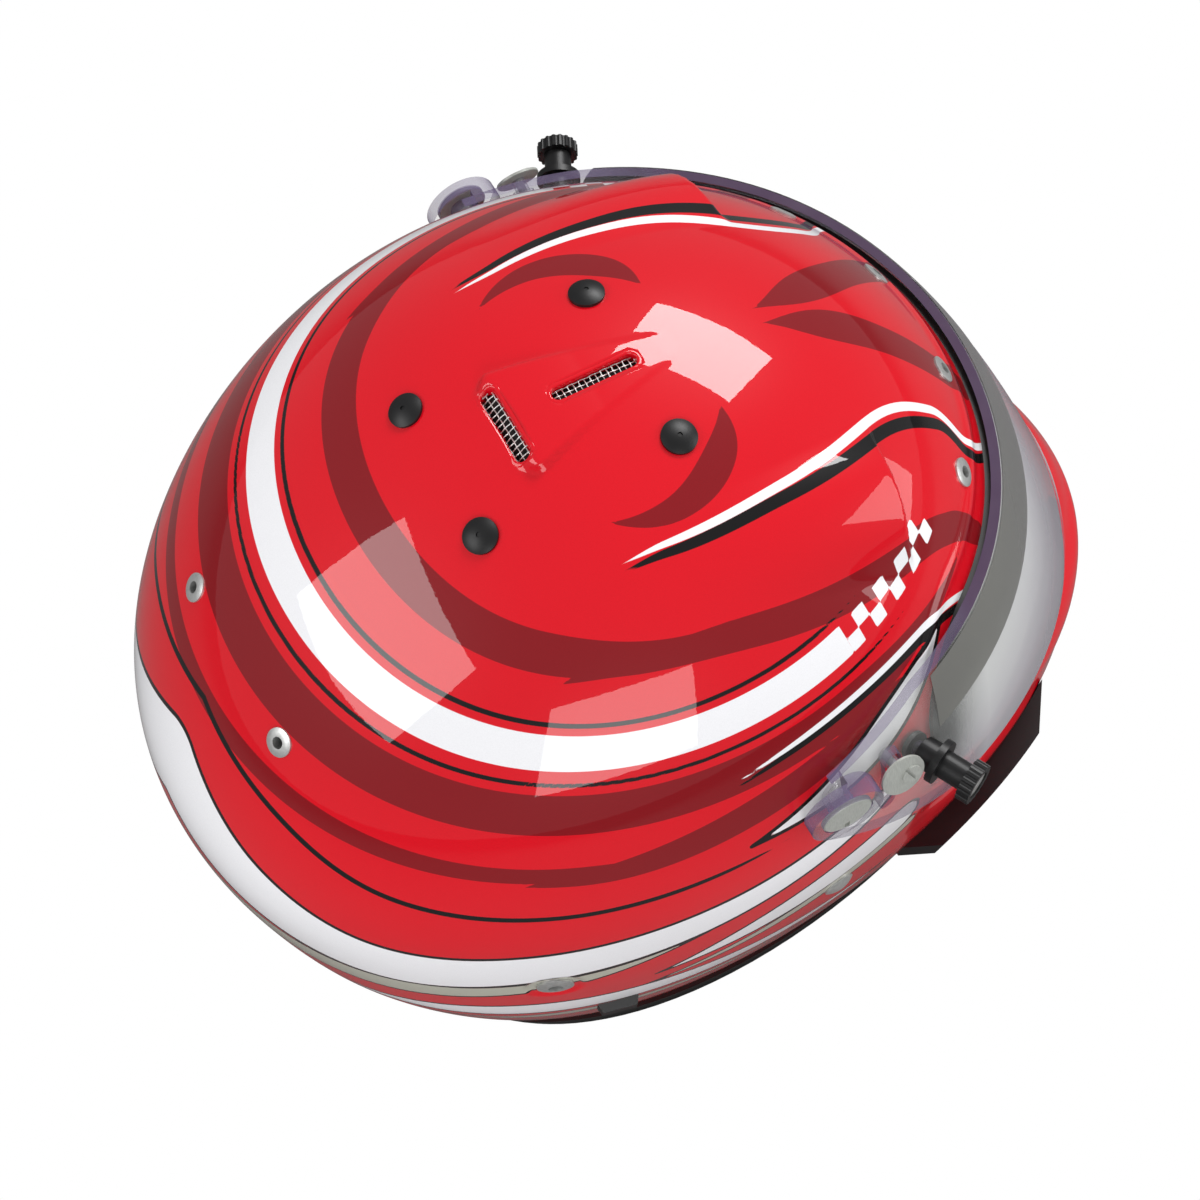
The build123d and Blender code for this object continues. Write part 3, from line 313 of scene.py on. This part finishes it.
def paint(name):
    """Layered racing paint under a clear coat; each layer's outline is a distance stored on the mesh."""
    n = Nodes(name)
    flake = n.spread(n.noise(2600, 1), 0.94, 1.06)
    colour = n.mix(n.spread(n.noise(7, 2), 0, 0.10), RED, DARK)
    for layer, shade in zip(LAYERS, (DARK, BLACK, GREY, WHITE)):
        inside = n.add("ShaderNodeAttribute", attribute_name=layer).outputs["Fac"]
        colour = n.mix(n.spread(inside, 1, 0, -0.09, 0.09), colour, shade)
    n.bump(n.noise(420, 2), 0.012, 0.0004, "Coat Normal")
    n.set(Coat_Weight=1.0, Coat_Roughness=0.015, Coat_IOR=1.5, Specular_IOR_Level=0.06)
    tinted = n.mix(1.0, colour, flake, blend_type="MULTIPLY")
    return n.set(Base_Color=tinted, Roughness=n.spread(n.noise(60), 0.30, 0.40))


def plastic(name, code, low, high, grain=900.0, depth=0.00006):
    """Moulded plastic or rubber with a fine grain and worn, shinier patches."""
    n = Nodes(name)
    base = rgb(code)
    patch = n.noise(45, 4)
    n.bump(n.noise(grain, 2), 0.35, depth)
    colour = n.mix(n.spread(patch, 0, 0.55, 0.35, 0.75), base, brighter(base, 1.6, 0.004))
    return n.set(Base_Color=colour, Roughness=n.spread(patch, low, high))


def metal(name, code, low, high, grain=700.0, stretch=(1, 1, 1), metallic=1.0):
    """Satin metal with fine machining marks."""
    n = Nodes(name)
    mapping = n.add("ShaderNodeMapping", {"Vector": n.place(), "Scale": stretch})
    marks = n.add("ShaderNodeTexNoise", {"Vector": mapping.outputs[0], "Scale": grain, "Detail": 3.0}).outputs["Fac"]
    base = rgb(code)
    n.bump(marks, 0.2, 0.00004)
    colour = n.mix(n.spread(marks, 0, 1, 0.3, 0.7), base, brighter(base, 0.8))
    return n.set(Base_Color=colour, Metallic=metallic, Roughness=n.spread(marks, low, high))


def fabric(name, code, scale=1.0):
    """Brushed knit: fine ribs both ways with fuzz and slow shading."""
    n = Nodes(name)
    base = rgb(code)
    wave = {"Vector": n.place(), "Scale": 420 * scale, "Distortion": 2.0, "Detail": 2.0}
    ribs, cross = (n.add("ShaderNodeTexWave", wave, bands_direction=way).outputs["Fac"] for way in ("Z", "DIAGONAL"))
    weave = n.math("MULTIPLY", ribs, cross)
    n.bump(n.math("ADD", weave, n.noise(300, 3)), 0.25, 0.0002)
    shade = n.math("ADD", n.math("MULTIPLY", weave, 0.5), n.spread(n.noise(30), 0, 0.4))
    n.set(Roughness=0.92, Sheen_Weight=0.35, Sheen_Roughness=0.4)
    return n.set(Base_Color=n.mix(shade, base, brighter(base, 2.2, 0.006)))


def foam(name, code):
    """Moulded expanded foam: tight beads with darker seams between them."""
    n = Nodes(name)
    beads = n.add("ShaderNodeTexVoronoi", {"Vector": n.place(), "Scale": 330.0}, feature="F1").outputs["Distance"]
    base = rgb(code)
    n.bump(n.math("MULTIPLY", beads, -1.0), 0.5, 0.0008)
    return n.set(Base_Color=n.mix(n.spread(beads, 1, 0, 0, 0.7), base, brighter(base, 1.9, 0.004)), Roughness=0.85)


def clear(name, code, roughness, alpha, edge, film=None, brow=None):
    """Clear polycarbonate, deeper in colour edge on; hazed (film) or solidly coloured (brow) ahead of the ears."""
    n = Nodes(name)
    facing = n.add("ShaderNodeLayerWeight", {"Blend": 0.35}).outputs["Facing"]
    colour = n.mix(n.spread(facing, 0, 1, 0.45, 0.95), rgb(code), rgb(edge))
    solid = n.spread(facing, alpha, min(1.0, alpha * 2.2), 0.3, 1)
    if film or brow:
        y = n.add("ShaderNodeSeparateXYZ", {0: n.place()}).outputs[1]
        ahead = n.spread(y, 1, 0, -0.072, -0.048)
        veil = ahead if brow else n.math("MULTIPLY", ahead, n.spread(facing, 0.10, film, 0.22, 0.62))
        solid = n.math("MAXIMUM", solid, veil)
    if brow:
        colour = n.mix(ahead, colour, rgb(brow))
    n.set(Base_Color=colour, Roughness=n.spread(n.noise(90, 2), roughness, roughness * 1.6))
    n.set(Coat_Weight=0.0 if brow else 0.3, Coat_Roughness=0.02, Specular_IOR_Level=0.2 if brow else 0.5)
    tint = n.mix(n.spread(facing, 0, 0.8, 0.5, 1), (0.97, 0.975, 0.97, 1), rgb(edge))
    return n.finish(solid, n.add("ShaderNodeBsdfTransparent", {0: tint}), n.shader)


shell_paint = paint("shell_paint")
black_rubber = plastic("black_rubber", "080808", 0.42, 0.6, 1400, 0.00005)
black_plastic = plastic("black_plastic", "060607", 0.36, 0.5, 1600, 0.00003)
# dull_black serves only the slot caps below, which are painted shade in the vents.
dull_black = plastic("dull_black", "070708", 0.6, 0.8)
silver = metal("silver", "D9DAD8", 0.34, 0.46, metallic=0.8)
bright = metal("bright_steel", "E4E4E2", 0.28, 0.4, 1200, metallic=0.8)
disc_silver = metal("disc_silver", "B4B7B1", 0.4, 0.52, 500, (1, 6, 1), 0.25)
pad_cloth = fabric("pad_cloth", "17171A")
strap_cloth = fabric("strap_cloth", "121214", 0.55)
bead_foam = foam("bead_foam", "1B1B1E")
visor_clear = clear("visor_clear", "E6E8E6", 0.03, 0.10, "8C8398", 0.80)
visor_edge = clear("visor_edge", "75688A", 0.45, 0.5, "4A3C58", brow="4A3852")
strip_film = clear("strip_film", "70706C", 0.10, 0.86, "5A585C")
boss_clear = clear("boss_clear", "D5CFDD", 0.06, 0.26, "9A8CAE")

# ---------------------------------------------------------------- shell with its paint

grid, quads = dome(210)
height = np.maximum(LONG_AT + DOME * grid[:, 2], 0.5)
bearing = np.degrees(np.arctan2(grid[:, 0], -grid[:, 1]))
plain = skin(height, bearing)
surface = plain + vertex_normals(plain, quads) * raised(plain)[:, None]
y_head = plain[:, 1] - CROWN
rise = np.maximum(np.abs(y_head) - 70, 0) / np.where(y_head > 0, 118.0, 132.0)  # the edge curves up fore and aft
keep = (eyeport(plain) > 1.0) & (plain[:, 2] > 2 + 9 * rise**2 + 1.2)
for slot in SLOTS:
    keep &= (plain[:, 2] <= 200) | (slot_distance(surface, *slot) > 0.35)
mirrored = np.stack([np.abs(plain[:, 0]), plain[:, 1], plain[:, 2]], -1)
for z, b in EYELETS:
    keep &= np.linalg.norm(mirrored - skin(z, b), axis=1) > 3.2
keep &= np.linalg.norm(mirrored - ANCHOR, axis=1) > 4.6
faces = quads[keep[quads].all(1)]
used, packed = np.unique(faces, return_inverse=True)
faces = packed.reshape(-1, 4)


def livery(p):
    """Distances from each paint layer's outline: plain stripes, a ring round the crown, checks and sweeps."""
    q = np.stack([np.abs(p[:, 0]), p[:, 1], p[:, 2]], -1)
    lift = np.degrees(np.arcsin(np.clip((q[:, 2] - LONG_AT) / DOME, -1, 1)))
    turn = np.degrees(np.arctan2(q[:, 0], -(q[:, 1] - CROWN)))
    girth = np.hypot(q[:, 0], q[:, 1] - CROWN)

    def ring(centre, half, start, taper=0.0):
        """Band of steady height round the back, from a bearing on; it may narrow to a point there."""
        ahead = np.radians(turn - start) * girth
        width = half * (smooth(ahead / taper) if taper else 1.0)
        return np.maximum(np.abs(lift - centre) * per_degree - width, -ahead)

    def band(*rows):
        return ribbon(q, rows)

    def rim(distance, half):
        """Pinstripe along a shape's outline."""
        return np.abs(distance - half) - half

    per_degree, halo_lift, halo_end, size, columns = 2.42, 43.0, 72, 5.6, 9
    halo = ring(halo_lift, size, halo_end)
    along, across = np.radians(halo_end - turn) * girth, np.abs(lift - halo_lift) * per_degree
    beside = np.minimum(np.mod(along, size), size - np.mod(along, size))
    shown = (np.floor(along / size) + (lift > halo_lift)) % 2 == 0
    checks = np.where(shown, -np.minimum(np.minimum(beside, across), size - across), np.minimum(beside, across))
    outside = np.max([-along, along - columns * size, across - size], axis=0)
    checks = np.where(outside > 0, outside + 0.1, checks)
    brow = band((172, 20, 1.2), (190, 24, 1.3), (208, 22, 1.5), (226, 30, 1.6), (237, 58, 1.5), (240, 95, 1.0),
        (237, 124, -0.8))
    arch = band((170, 44, 1.1), (181, 48, 1.2), (189, 56, 1.3), (192, 70, 1.2), (191, 86, 0.8), (186, 102, -0.8))
    sweep = band((152, 66, -0.8), (140, 78, 5.0), (128, 95, 8.0), (118, 118, 10.5), (113, 140, 13.0),
        (122, 160, 16.0), (140, 180, 17.0))
    dash = band((70, 72, -0.8), (66, 88, 4.2), (70, 108, 6.5), (72, 128, 5.0), (68, 150, -0.8))
    cheek = band((112, 72, 9.0), (106, 82, 8.0), (98, 93, 5.0), (88, 104, -0.8))
    flash = band((186, 54, -0.8), (181, 61, 3.4), (175, 69, 6.4), (169, 77, 5.6), (165, 85, 2.6), (162, 93, -0.8))
    stripe = np.min([halo, checks, brow, arch, sweep, dash, cheek, flash], axis=0)
    panel = np.min([
        band((116, 98, -0.8), (103, 114, 3.4), (95, 132, 5.0), (92, 152, 6.5), (100, 180, 7.5)),
        band((100, 70, 3.0), (94, 82, 3.0), (84, 95, 2.0), (76, 106, -0.8)),
        band((58, 80, -0.8), (54, 96, 2.2), (56, 116, 3.0), (60, 134, -0.8)),
    ], axis=0)
    line = np.min([
        ring(46.6, 0.75, 62, 30), ring(38.8, 0.7, 54, 40),
        band((171, 21.2, 1.5), (188.6, 26, 1.7), (206, 24.4, 2.0), (224, 33, 2.1), (235.6, 60, 2.0),
            (238.9, 95, 1.4), (236.6, 121, -0.8)),
        band((168, 45.2, 1.2), (179, 49.2, 1.4), (187, 57, 1.6), (190.2, 70, 1.5), (189.4, 86, 1.1),
            (184.6, 101, -0.8)),
        rim(flash, 0.9), rim(sweep, 0.9), rim(panel, 0.6), rim(dash, 0.7), rim(cheek, 0.8),
        band((158, 82, -0.8), (155, 96, 0.9), (152, 118, 1.1), (154, 140, 1.1), (163, 160, 1.1), (170, 180, 1.1)),
    ], axis=0)
    tone = np.min([
        ring(34.5, 7.0, 40, 70), ring(55.0, 6.0, 88, 60), ring(25.0, 3.0, 96, 60),
        band((184, 12, 5.0), (198, 11, 5.5), (216, 9, 6.0), (232, 6, 6.0), (243, 3, -0.8)),
        band((183, 38, 4.0), (196, 41, 5.0), (208, 52, 5.5), (222, 84, 5.0), (224, 110, 3.0), (220, 128, -0.8)),
        band((247, 40, -0.8), (244.5, 62, 5.0), (243, 88, 4.0), (243.5, 120, -0.8)),
        band((182, 66, 3.5), (180, 78, 5.0), (176, 92, 5.5), (170, 110, 4.0), (166, 126, -0.8)),
        band((40, 40, -0.8), (44, 56, 7.5), (40, 74, 6.0), (34, 96, -0.8)),
        band((44, 112, -0.8), (36, 132, 5.0), (36, 156, 7.0), (40, 180, 7.5)),
    ], axis=0)
    return {"stripe": stripe, "panel": panel, "line": line, "tone": tone}


shell = new_object("painted_shell", surface[used], faces, shell_paint)
store(shell, livery(plain[used]))
wall = shell.modifiers.new("wall", "SOLIDIFY")
wall.thickness, wall.offset, wall.use_rim = 3.4 * MM, -1.0, True
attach(shell, "helmet")
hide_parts("outer_shell")


# ---------------------------------------------------------------- slot lips and woven mesh

def crown_height(x, y):
    """Height of the painted crown over points of the top view."""
    low, high = np.full(len(x), 200.0), np.full(len(x), TOP)
    b = np.degrees(np.arctan2(x, -y))
    for _ in range(40):
        mid = (low + high) / 2
        p = skin(mid, b)
        inside = np.hypot(p[:, 0], p[:, 1] - CROWN) > np.hypot(x, y)
        low, high = np.where(inside, mid, low), np.where(inside, high, mid)
    p = np.stack([x, CROWN + y, low], -1)
    return low + raised(p)


LIP = ((1.9, -0.25), (1.5, -0.02), (1.05, 0.08), (0.6, 0.1), (0.25, -0.04), (0.03, -0.4), (0.0, -1.0), (0.0, -3.9))
ROUND = 120  # points round a lip
PITCH, WIRE, SAG = 1.9, 0.2, 2.4  # the weave's pitch, its wires' radius and how deep it lies
for slot in SLOTS:
    centre, half_length, half_width, lengthwise = slot
    kind = "long" if lengthwise else "cross"
    turns = np.linspace(0, 2 * math.pi, ROUND + 1)[:-1]
    straight = half_length - half_width
    out = np.stack([np.cos(turns), np.sin(turns)], -1)
    mid = np.stack([np.zeros(ROUND), np.where(out[:, 1] >= 0, straight, -straight)], -1)
    if not lengthwise:
        out, mid = out[:, ::-1], mid[:, ::-1]
    rings = []
    for off, rise in LIP:
        xy = mid + out * (half_width + off)
        z = crown_height(xy[:, 0], xy[:, 1] + centre)
        rings.append(np.stack([xy[:, 0], CROWN + centre + xy[:, 1], z + rise], -1))
    pts = np.concatenate(rings)
    lip = new_object(f"slot_lip_{kind}", pts, [
        (r * ROUND + k, (r + 1) * ROUND + k, (r + 1) * ROUND + (k + 1) % ROUND, r * ROUND + (k + 1) % ROUND)
        for r in range(len(LIP) - 1) for k in range(ROUND)
    ], shell_paint)
    store(lip, dict.fromkeys(LAYERS, np.full(len(pts), 9)))
    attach(lip, "helmet")
    wires = bpy.data.curves.new(f"slot_mesh_{kind}", "CURVE")
    wires.dimensions, wires.bevel_depth, wires.bevel_resolution = "3D", WIRE * MM, 2
    for family, (run, side) in enumerate(((half_length, half_width), (half_width, half_length))):
        count = int(side * 2 / PITCH)
        for k in range(count + 1):
            fixed = (k - count / 2) * PITCH
            if abs(fixed) >= side:
                continue
            t = np.arange(-run, run + 0.01, PITCH / 4)
            still = np.full(len(t), fixed)
            x, y = (still, t) if lengthwise == (family == 0) else (t, still)
            wave = 0.18 * np.cos(math.pi * t / PITCH + math.pi * (k + family))
            inside = slot_distance(np.stack([x, CROWN + centre + y], -1), *slot) < 0.1
            x, y, wave = x[inside], y[inside], wave[inside]
            if len(x) < 3:
                continue
            z = crown_height(x, y + centre) - SAG + wave
            line = wires.splines.new("POLY")
            line.points.add(len(x) - 1)
            co = np.stack([x * MM, (CROWN + centre + y) * MM, z * MM, np.ones(len(x))], -1)
            line.points.foreach_set("co", co.ravel())
    wires.materials.append(bright)
    woven = link(wires.name, wires)
    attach(woven, "helmet")
    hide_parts("vent_mesh_long" if lengthwise else "vent_mesh_cross")
    # A flat dull-black cap closes each slot just under the wall: painted shade standing in for the dark vent channel
    # below the mesh.
    under = pts[-ROUND:] - [0, 0, 0.4]
    shade_cap = new_object(f"slot_backing_{kind}", under, [tuple(range(ROUND))], dull_black)
    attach(shade_cap, "helmet")


# ---------------------------------------------------------------- pads and straps

def dome_pad(node, swell, wrinkle):
    """A sewn pad in its solid's place: rounded edges, crowned between its seams, with small creases."""
    mesh = nodes[node].data.copy()
    mesh.materials.clear()
    pad = link(node + "_cover", mesh)
    step = pad.modifiers.new("even", "REMESH")
    step.mode, step.voxel_size, step.use_smooth_shade = "VOXEL", 2.6 * MM, True
    soft = pad.modifiers.new("soft", "SMOOTH")
    soft.factor, soft.iterations = 0.5, 9
    bpy.context.view_layer.update()
    made = bpy.data.meshes.new_from_object(pad.evaluated_get(bpy.context.evaluated_depsgraph_get()))
    pad.modifiers.clear()
    pad.data = made
    made.polygons.foreach_set("use_smooth", [True] * len(made.polygons))
    made.materials.clear()
    made.materials.append(pad_cloth)
    co, outward = read(made.vertices, "co"), read(made.vertices, "normal")
    x, y, z = co.T * 1000
    creases = np.sin(x * 0.31 + 1.7 * np.sin(z * 0.13)) * np.sin(y * 0.27 + 1.3 * np.sin(x * 0.11))
    co = co + outward * (swell + wrinkle * creases)[:, None] * MM
    made.vertices.foreach_set("co", co.ravel())
    made.update()
    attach(pad, "helmet")
    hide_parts(node)


for pad_node in ("crown_pad", "side_pad", "neck_roll", "cheek_pad_left", "cheek_pad_right", "chin_bar_pad"):
    dome_pad(pad_node, 0.5, 0.25)


def tube(sections, size, closed):
    """Quads between the rows of points of neighbouring sections."""
    quads = []
    for i in range(sections if closed else sections - 1):
        here, there = i * size, (i + 1) % sections * size
        quads += [(here + k, here + (k + 1) % size, there + (k + 1) % size, there + k) for k in range(size)]
    return quads


def strap(side):
    """Webbing down the shell's inner wall, round a bend and inwards, with a sewn loop at its end."""
    level, bend_radius, loop_radius, loop_count = 12.6, 9.0, 4.75, 40
    across, out, up = np.array([0.120332, 0.992734, 0.0]), np.array([0.992734, -0.120332, 0.0]), np.array([0, 0, 1])
    inner_end, loop_centre = np.array([26.0, 1.85, level]), np.array([21.285, 2.423, level])
    profile = [(-12.4, -0.35), (-12.1, -0.7), (12.1, -0.7), (12.4, -0.35)]  # half the webbing's section, chamfered
    profile += [(-w, -h) for w, h in profile]
    size = len(profile)
    wall = []
    for z in np.linspace(98.0, 24.0, 24):
        p = skin(z, np.linspace(60, 120, 1201), 3.5 + 0.7 + 0.75)
        wall.append(p[np.argmin(np.abs(p[:, 1] - CROWN + 17.5))])
    corner = np.array([*wall[-1][:2], level]) - out
    bend = [
        corner + bend_radius * (up - out) + bend_radius * (out * math.cos(a) - up * math.sin(a))
        for a in np.linspace(0.15, math.pi / 2, 10)
    ]
    run = [bend[-1] + (inner_end - bend[-1]) * s for s in np.linspace(0.05, 1, 24)]
    line = np.array([*wall, *bend, *run])
    line[:, 2] = np.maximum(line[:, 2], level)
    thick = np.cross(np.gradient(line, axis=0), across)
    thick /= np.linalg.norm(thick, axis=1, keepdims=True)
    rows = [[line[i] + across * w + thick[i] * h for w, h in profile] for i in range(len(line))]
    for a in np.linspace(0, 2 * math.pi, loop_count + 1)[:-1]:
        spoke = out * math.cos(a) + up * math.sin(a)
        rows.append([loop_centre + spoke * (loop_radius + h) + across * w for w, h in profile])
    flat = len(line) * size
    faces = tube(len(line), size, False) + [tuple(range(size)), tuple(range(flat - size, flat))[::-1]]
    faces += [tuple(flat + k for k in quad) for quad in tube(loop_count, size, True)]
    points = np.concatenate(rows) * [1 if side == "left" else -1, 1, 1]
    made = new_object(f"webbing_{side}", points, faces, strap_cloth)
    made.modifiers.new("rounded", "EDGE_SPLIT").split_angle = math.radians(50)
    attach(made, "helmet")
    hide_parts(f"chin_strap_{side}")


strap("left")
strap("right")

# ---------------------------------------------------------------- carried-over pieces

DRESS = {
    black_rubber: "base_trim eyeport_gasket",
    bead_foam: "eps_liner chin_bar_eps",
    visor_clear: "visor",
    strip_film: "visor_sun_strip",
    bright: "d_ring_upper d_ring_lower tearoff_knob_face",
    silver: "strap_snap strap_rivet inner_brow_eyelet outer_brow_eyelet rear_eyelet restraint_anchor",
    boss_clear: "visor_pivot_bush visor_guide_bush",
    disc_silver: "visor_pivot_screw visor_guide_screw",
    black_plastic: "front_plug rear_plug chin_strake side_tab visor_pivot_nut visor_guide_nut "
                   "tearoff_post_base tearoff_post_nut tearoff_knob",
}
DRESSED = {key: material for material, keys in DRESS.items() for key in keys.split()}
for name, node in nodes.items():
    key = name.rsplit("_", 1)[0] if name.endswith(("_left", "_right")) else name
    if key in DRESSED:
        node.data.materials.clear()
        node.data.materials.append(DRESSED[key])

# Cut edges of the visor take their own material. The bonded strip's back and thin edges are left clear.
unseen = Nodes("bonded_edge")
unseen.put(unseen.tree.nodes["Material Output"].inputs[0], unseen.add("ShaderNodeBsdfTransparent").outputs[0])
for node, rim in (("visor", visor_edge), ("visor_sun_strip", unseen.material)):
    sheet = nodes[node].data
    sheet.materials.append(rim)
    centres, facing = read(sheet.polygons, "center") * 1000, read(sheet.polygons, "normal")
    side, front, _, _ = reach(centres[:, 2], -6)
    slope = (reach(centres[:, 2] + 1, -6)[1] - reach(centres[:, 2] - 1, -6)[1]) / 2
    outward = np.stack([centres[:, 0] / side**2, (centres[:, 1] - CROWN) / front**2, np.zeros(len(centres))], -1)
    outward /= np.linalg.norm(outward, axis=1, keepdims=True)
    outward[:, 2] = -slope
    outward /= np.linalg.norm(outward, axis=1, keepdims=True)
    turned = (outward * facing).sum(1)
    edges = np.abs(turned) < 0.6 if node == "visor" else turned < 0.6
    sheet.polygons.foreach_set("material_index", edges.astype(int).tolist())
    sheet.update()

# ---------------------------------------------------------------- floor, light and camera

floor_mesh = bpy.data.meshes.new("floor")
floor_mesh.from_pydata([(-6, -6, 0), (6, -6, 0), (6, 6, 0), (-6, 6, 0)], [], [(0, 1, 2, 3)])
floor = link("floor", floor_mesh)
n = Nodes("floor")
path = n.add("ShaderNodeLightPath").outputs
n.set(Roughness=0.75, Base_Color=n.mix(path["Is Glossy Ray"], rgb("DCDCDD"), rgb("707070")))
seen = n.math("MAXIMUM", path["Is Camera Ray"], path["Is Transmission Ray"])
floor_mesh.materials.append(n.finish(seen, n.shader, n.add("ShaderNodeEmission", {0: (1, 1, 1, 1)})))

scene = bpy.context.scene
scene.view_settings.view_transform = "Standard"
world = bpy.data.worlds.new("studio")
scene.world = world
world.use_nodes = True
tree = world.node_tree
sky = tree.nodes["Background"]
sky.inputs[0].default_value = (1, 1, 1, 1)
sky.inputs[1].default_value = 0.46
path = tree.nodes.new("ShaderNodeLightPath").outputs
for ray, colour in (("Is Glossy Ray", (0.32, 0.32, 0.325, 1)), ("Is Camera Ray", (1, 1, 1, 1))):
    other = tree.nodes.new("ShaderNodeBackground")
    other.inputs[0].default_value = colour
    both = tree.nodes.new("ShaderNodeMixShader")
    for socket, source in zip(both.inputs, (path[ray], sky.outputs[0], other.outputs[0])):
        tree.links.new(source, socket)
    sky = both
tree.links.new(sky.outputs[0], tree.nodes["World Output"].inputs[0])


def softbox(name, place, aim, width, height, power):
    lamp = bpy.data.lights.new(name, "AREA")
    lamp.shape, lamp.size, lamp.size_y, lamp.energy = "RECTANGLE", width, height, power
    made = link(name, lamp)
    made.location = place
    made.rotation_euler = (Vector(aim) - Vector(place)).to_track_quat("-Z", "Y").to_euler()


softbox("key", (0.7, -1.0, 1.5), (0, 0, 0.12), 0.9, 0.6, 21)
softbox("fill", (-1.5, 0.5, 0.9), (0, 0, 0.12), 1.2, 0.8, 11)
softbox("rear", (0.2, 1.5, 1.1), (0, 0, 0.12), 1.2, 0.7, 11)
softbox("front", (-0.7, -1.4, 0.7), (0, 0, 0.1), 0.9, 0.9, 7)

# The camera fitted to the photo: its bearing, height and roll, its distance, and its focal length and shift in pixels.
FRAME, FOCAL, SHIFT, DISTANCE = 1200, 2996.2, (-11.98, -26.60), 1.02617
turn, rise, roll = math.radians(243.13403), math.radians(62.06736), math.radians(-1.88773)
toward = Vector((math.sin(turn) * math.cos(rise), -math.cos(turn) * math.cos(rise), math.sin(rise)))
right = Vector((math.cos(turn), math.sin(turn), 0))
upward = toward.cross(right)
right, upward = right * math.cos(roll) + upward * math.sin(roll), -right * math.sin(roll) + upward * math.cos(roll)
lens = bpy.data.cameras.new("camera")
camera = link("camera", lens)
scene.camera = camera
camera.matrix_world = Matrix((right, upward, toward)).transposed().to_4x4()
camera.location = Vector((0, 0.007, 0.12)) + toward * DISTANCE
lens.sensor_width = 36
lens.lens = FOCAL / FRAME * lens.sensor_width
lens.shift_x, lens.shift_y = SHIFT[0] / FRAME, SHIFT[1] / FRAME
lens.clip_start, lens.clip_end = 0.01, 50
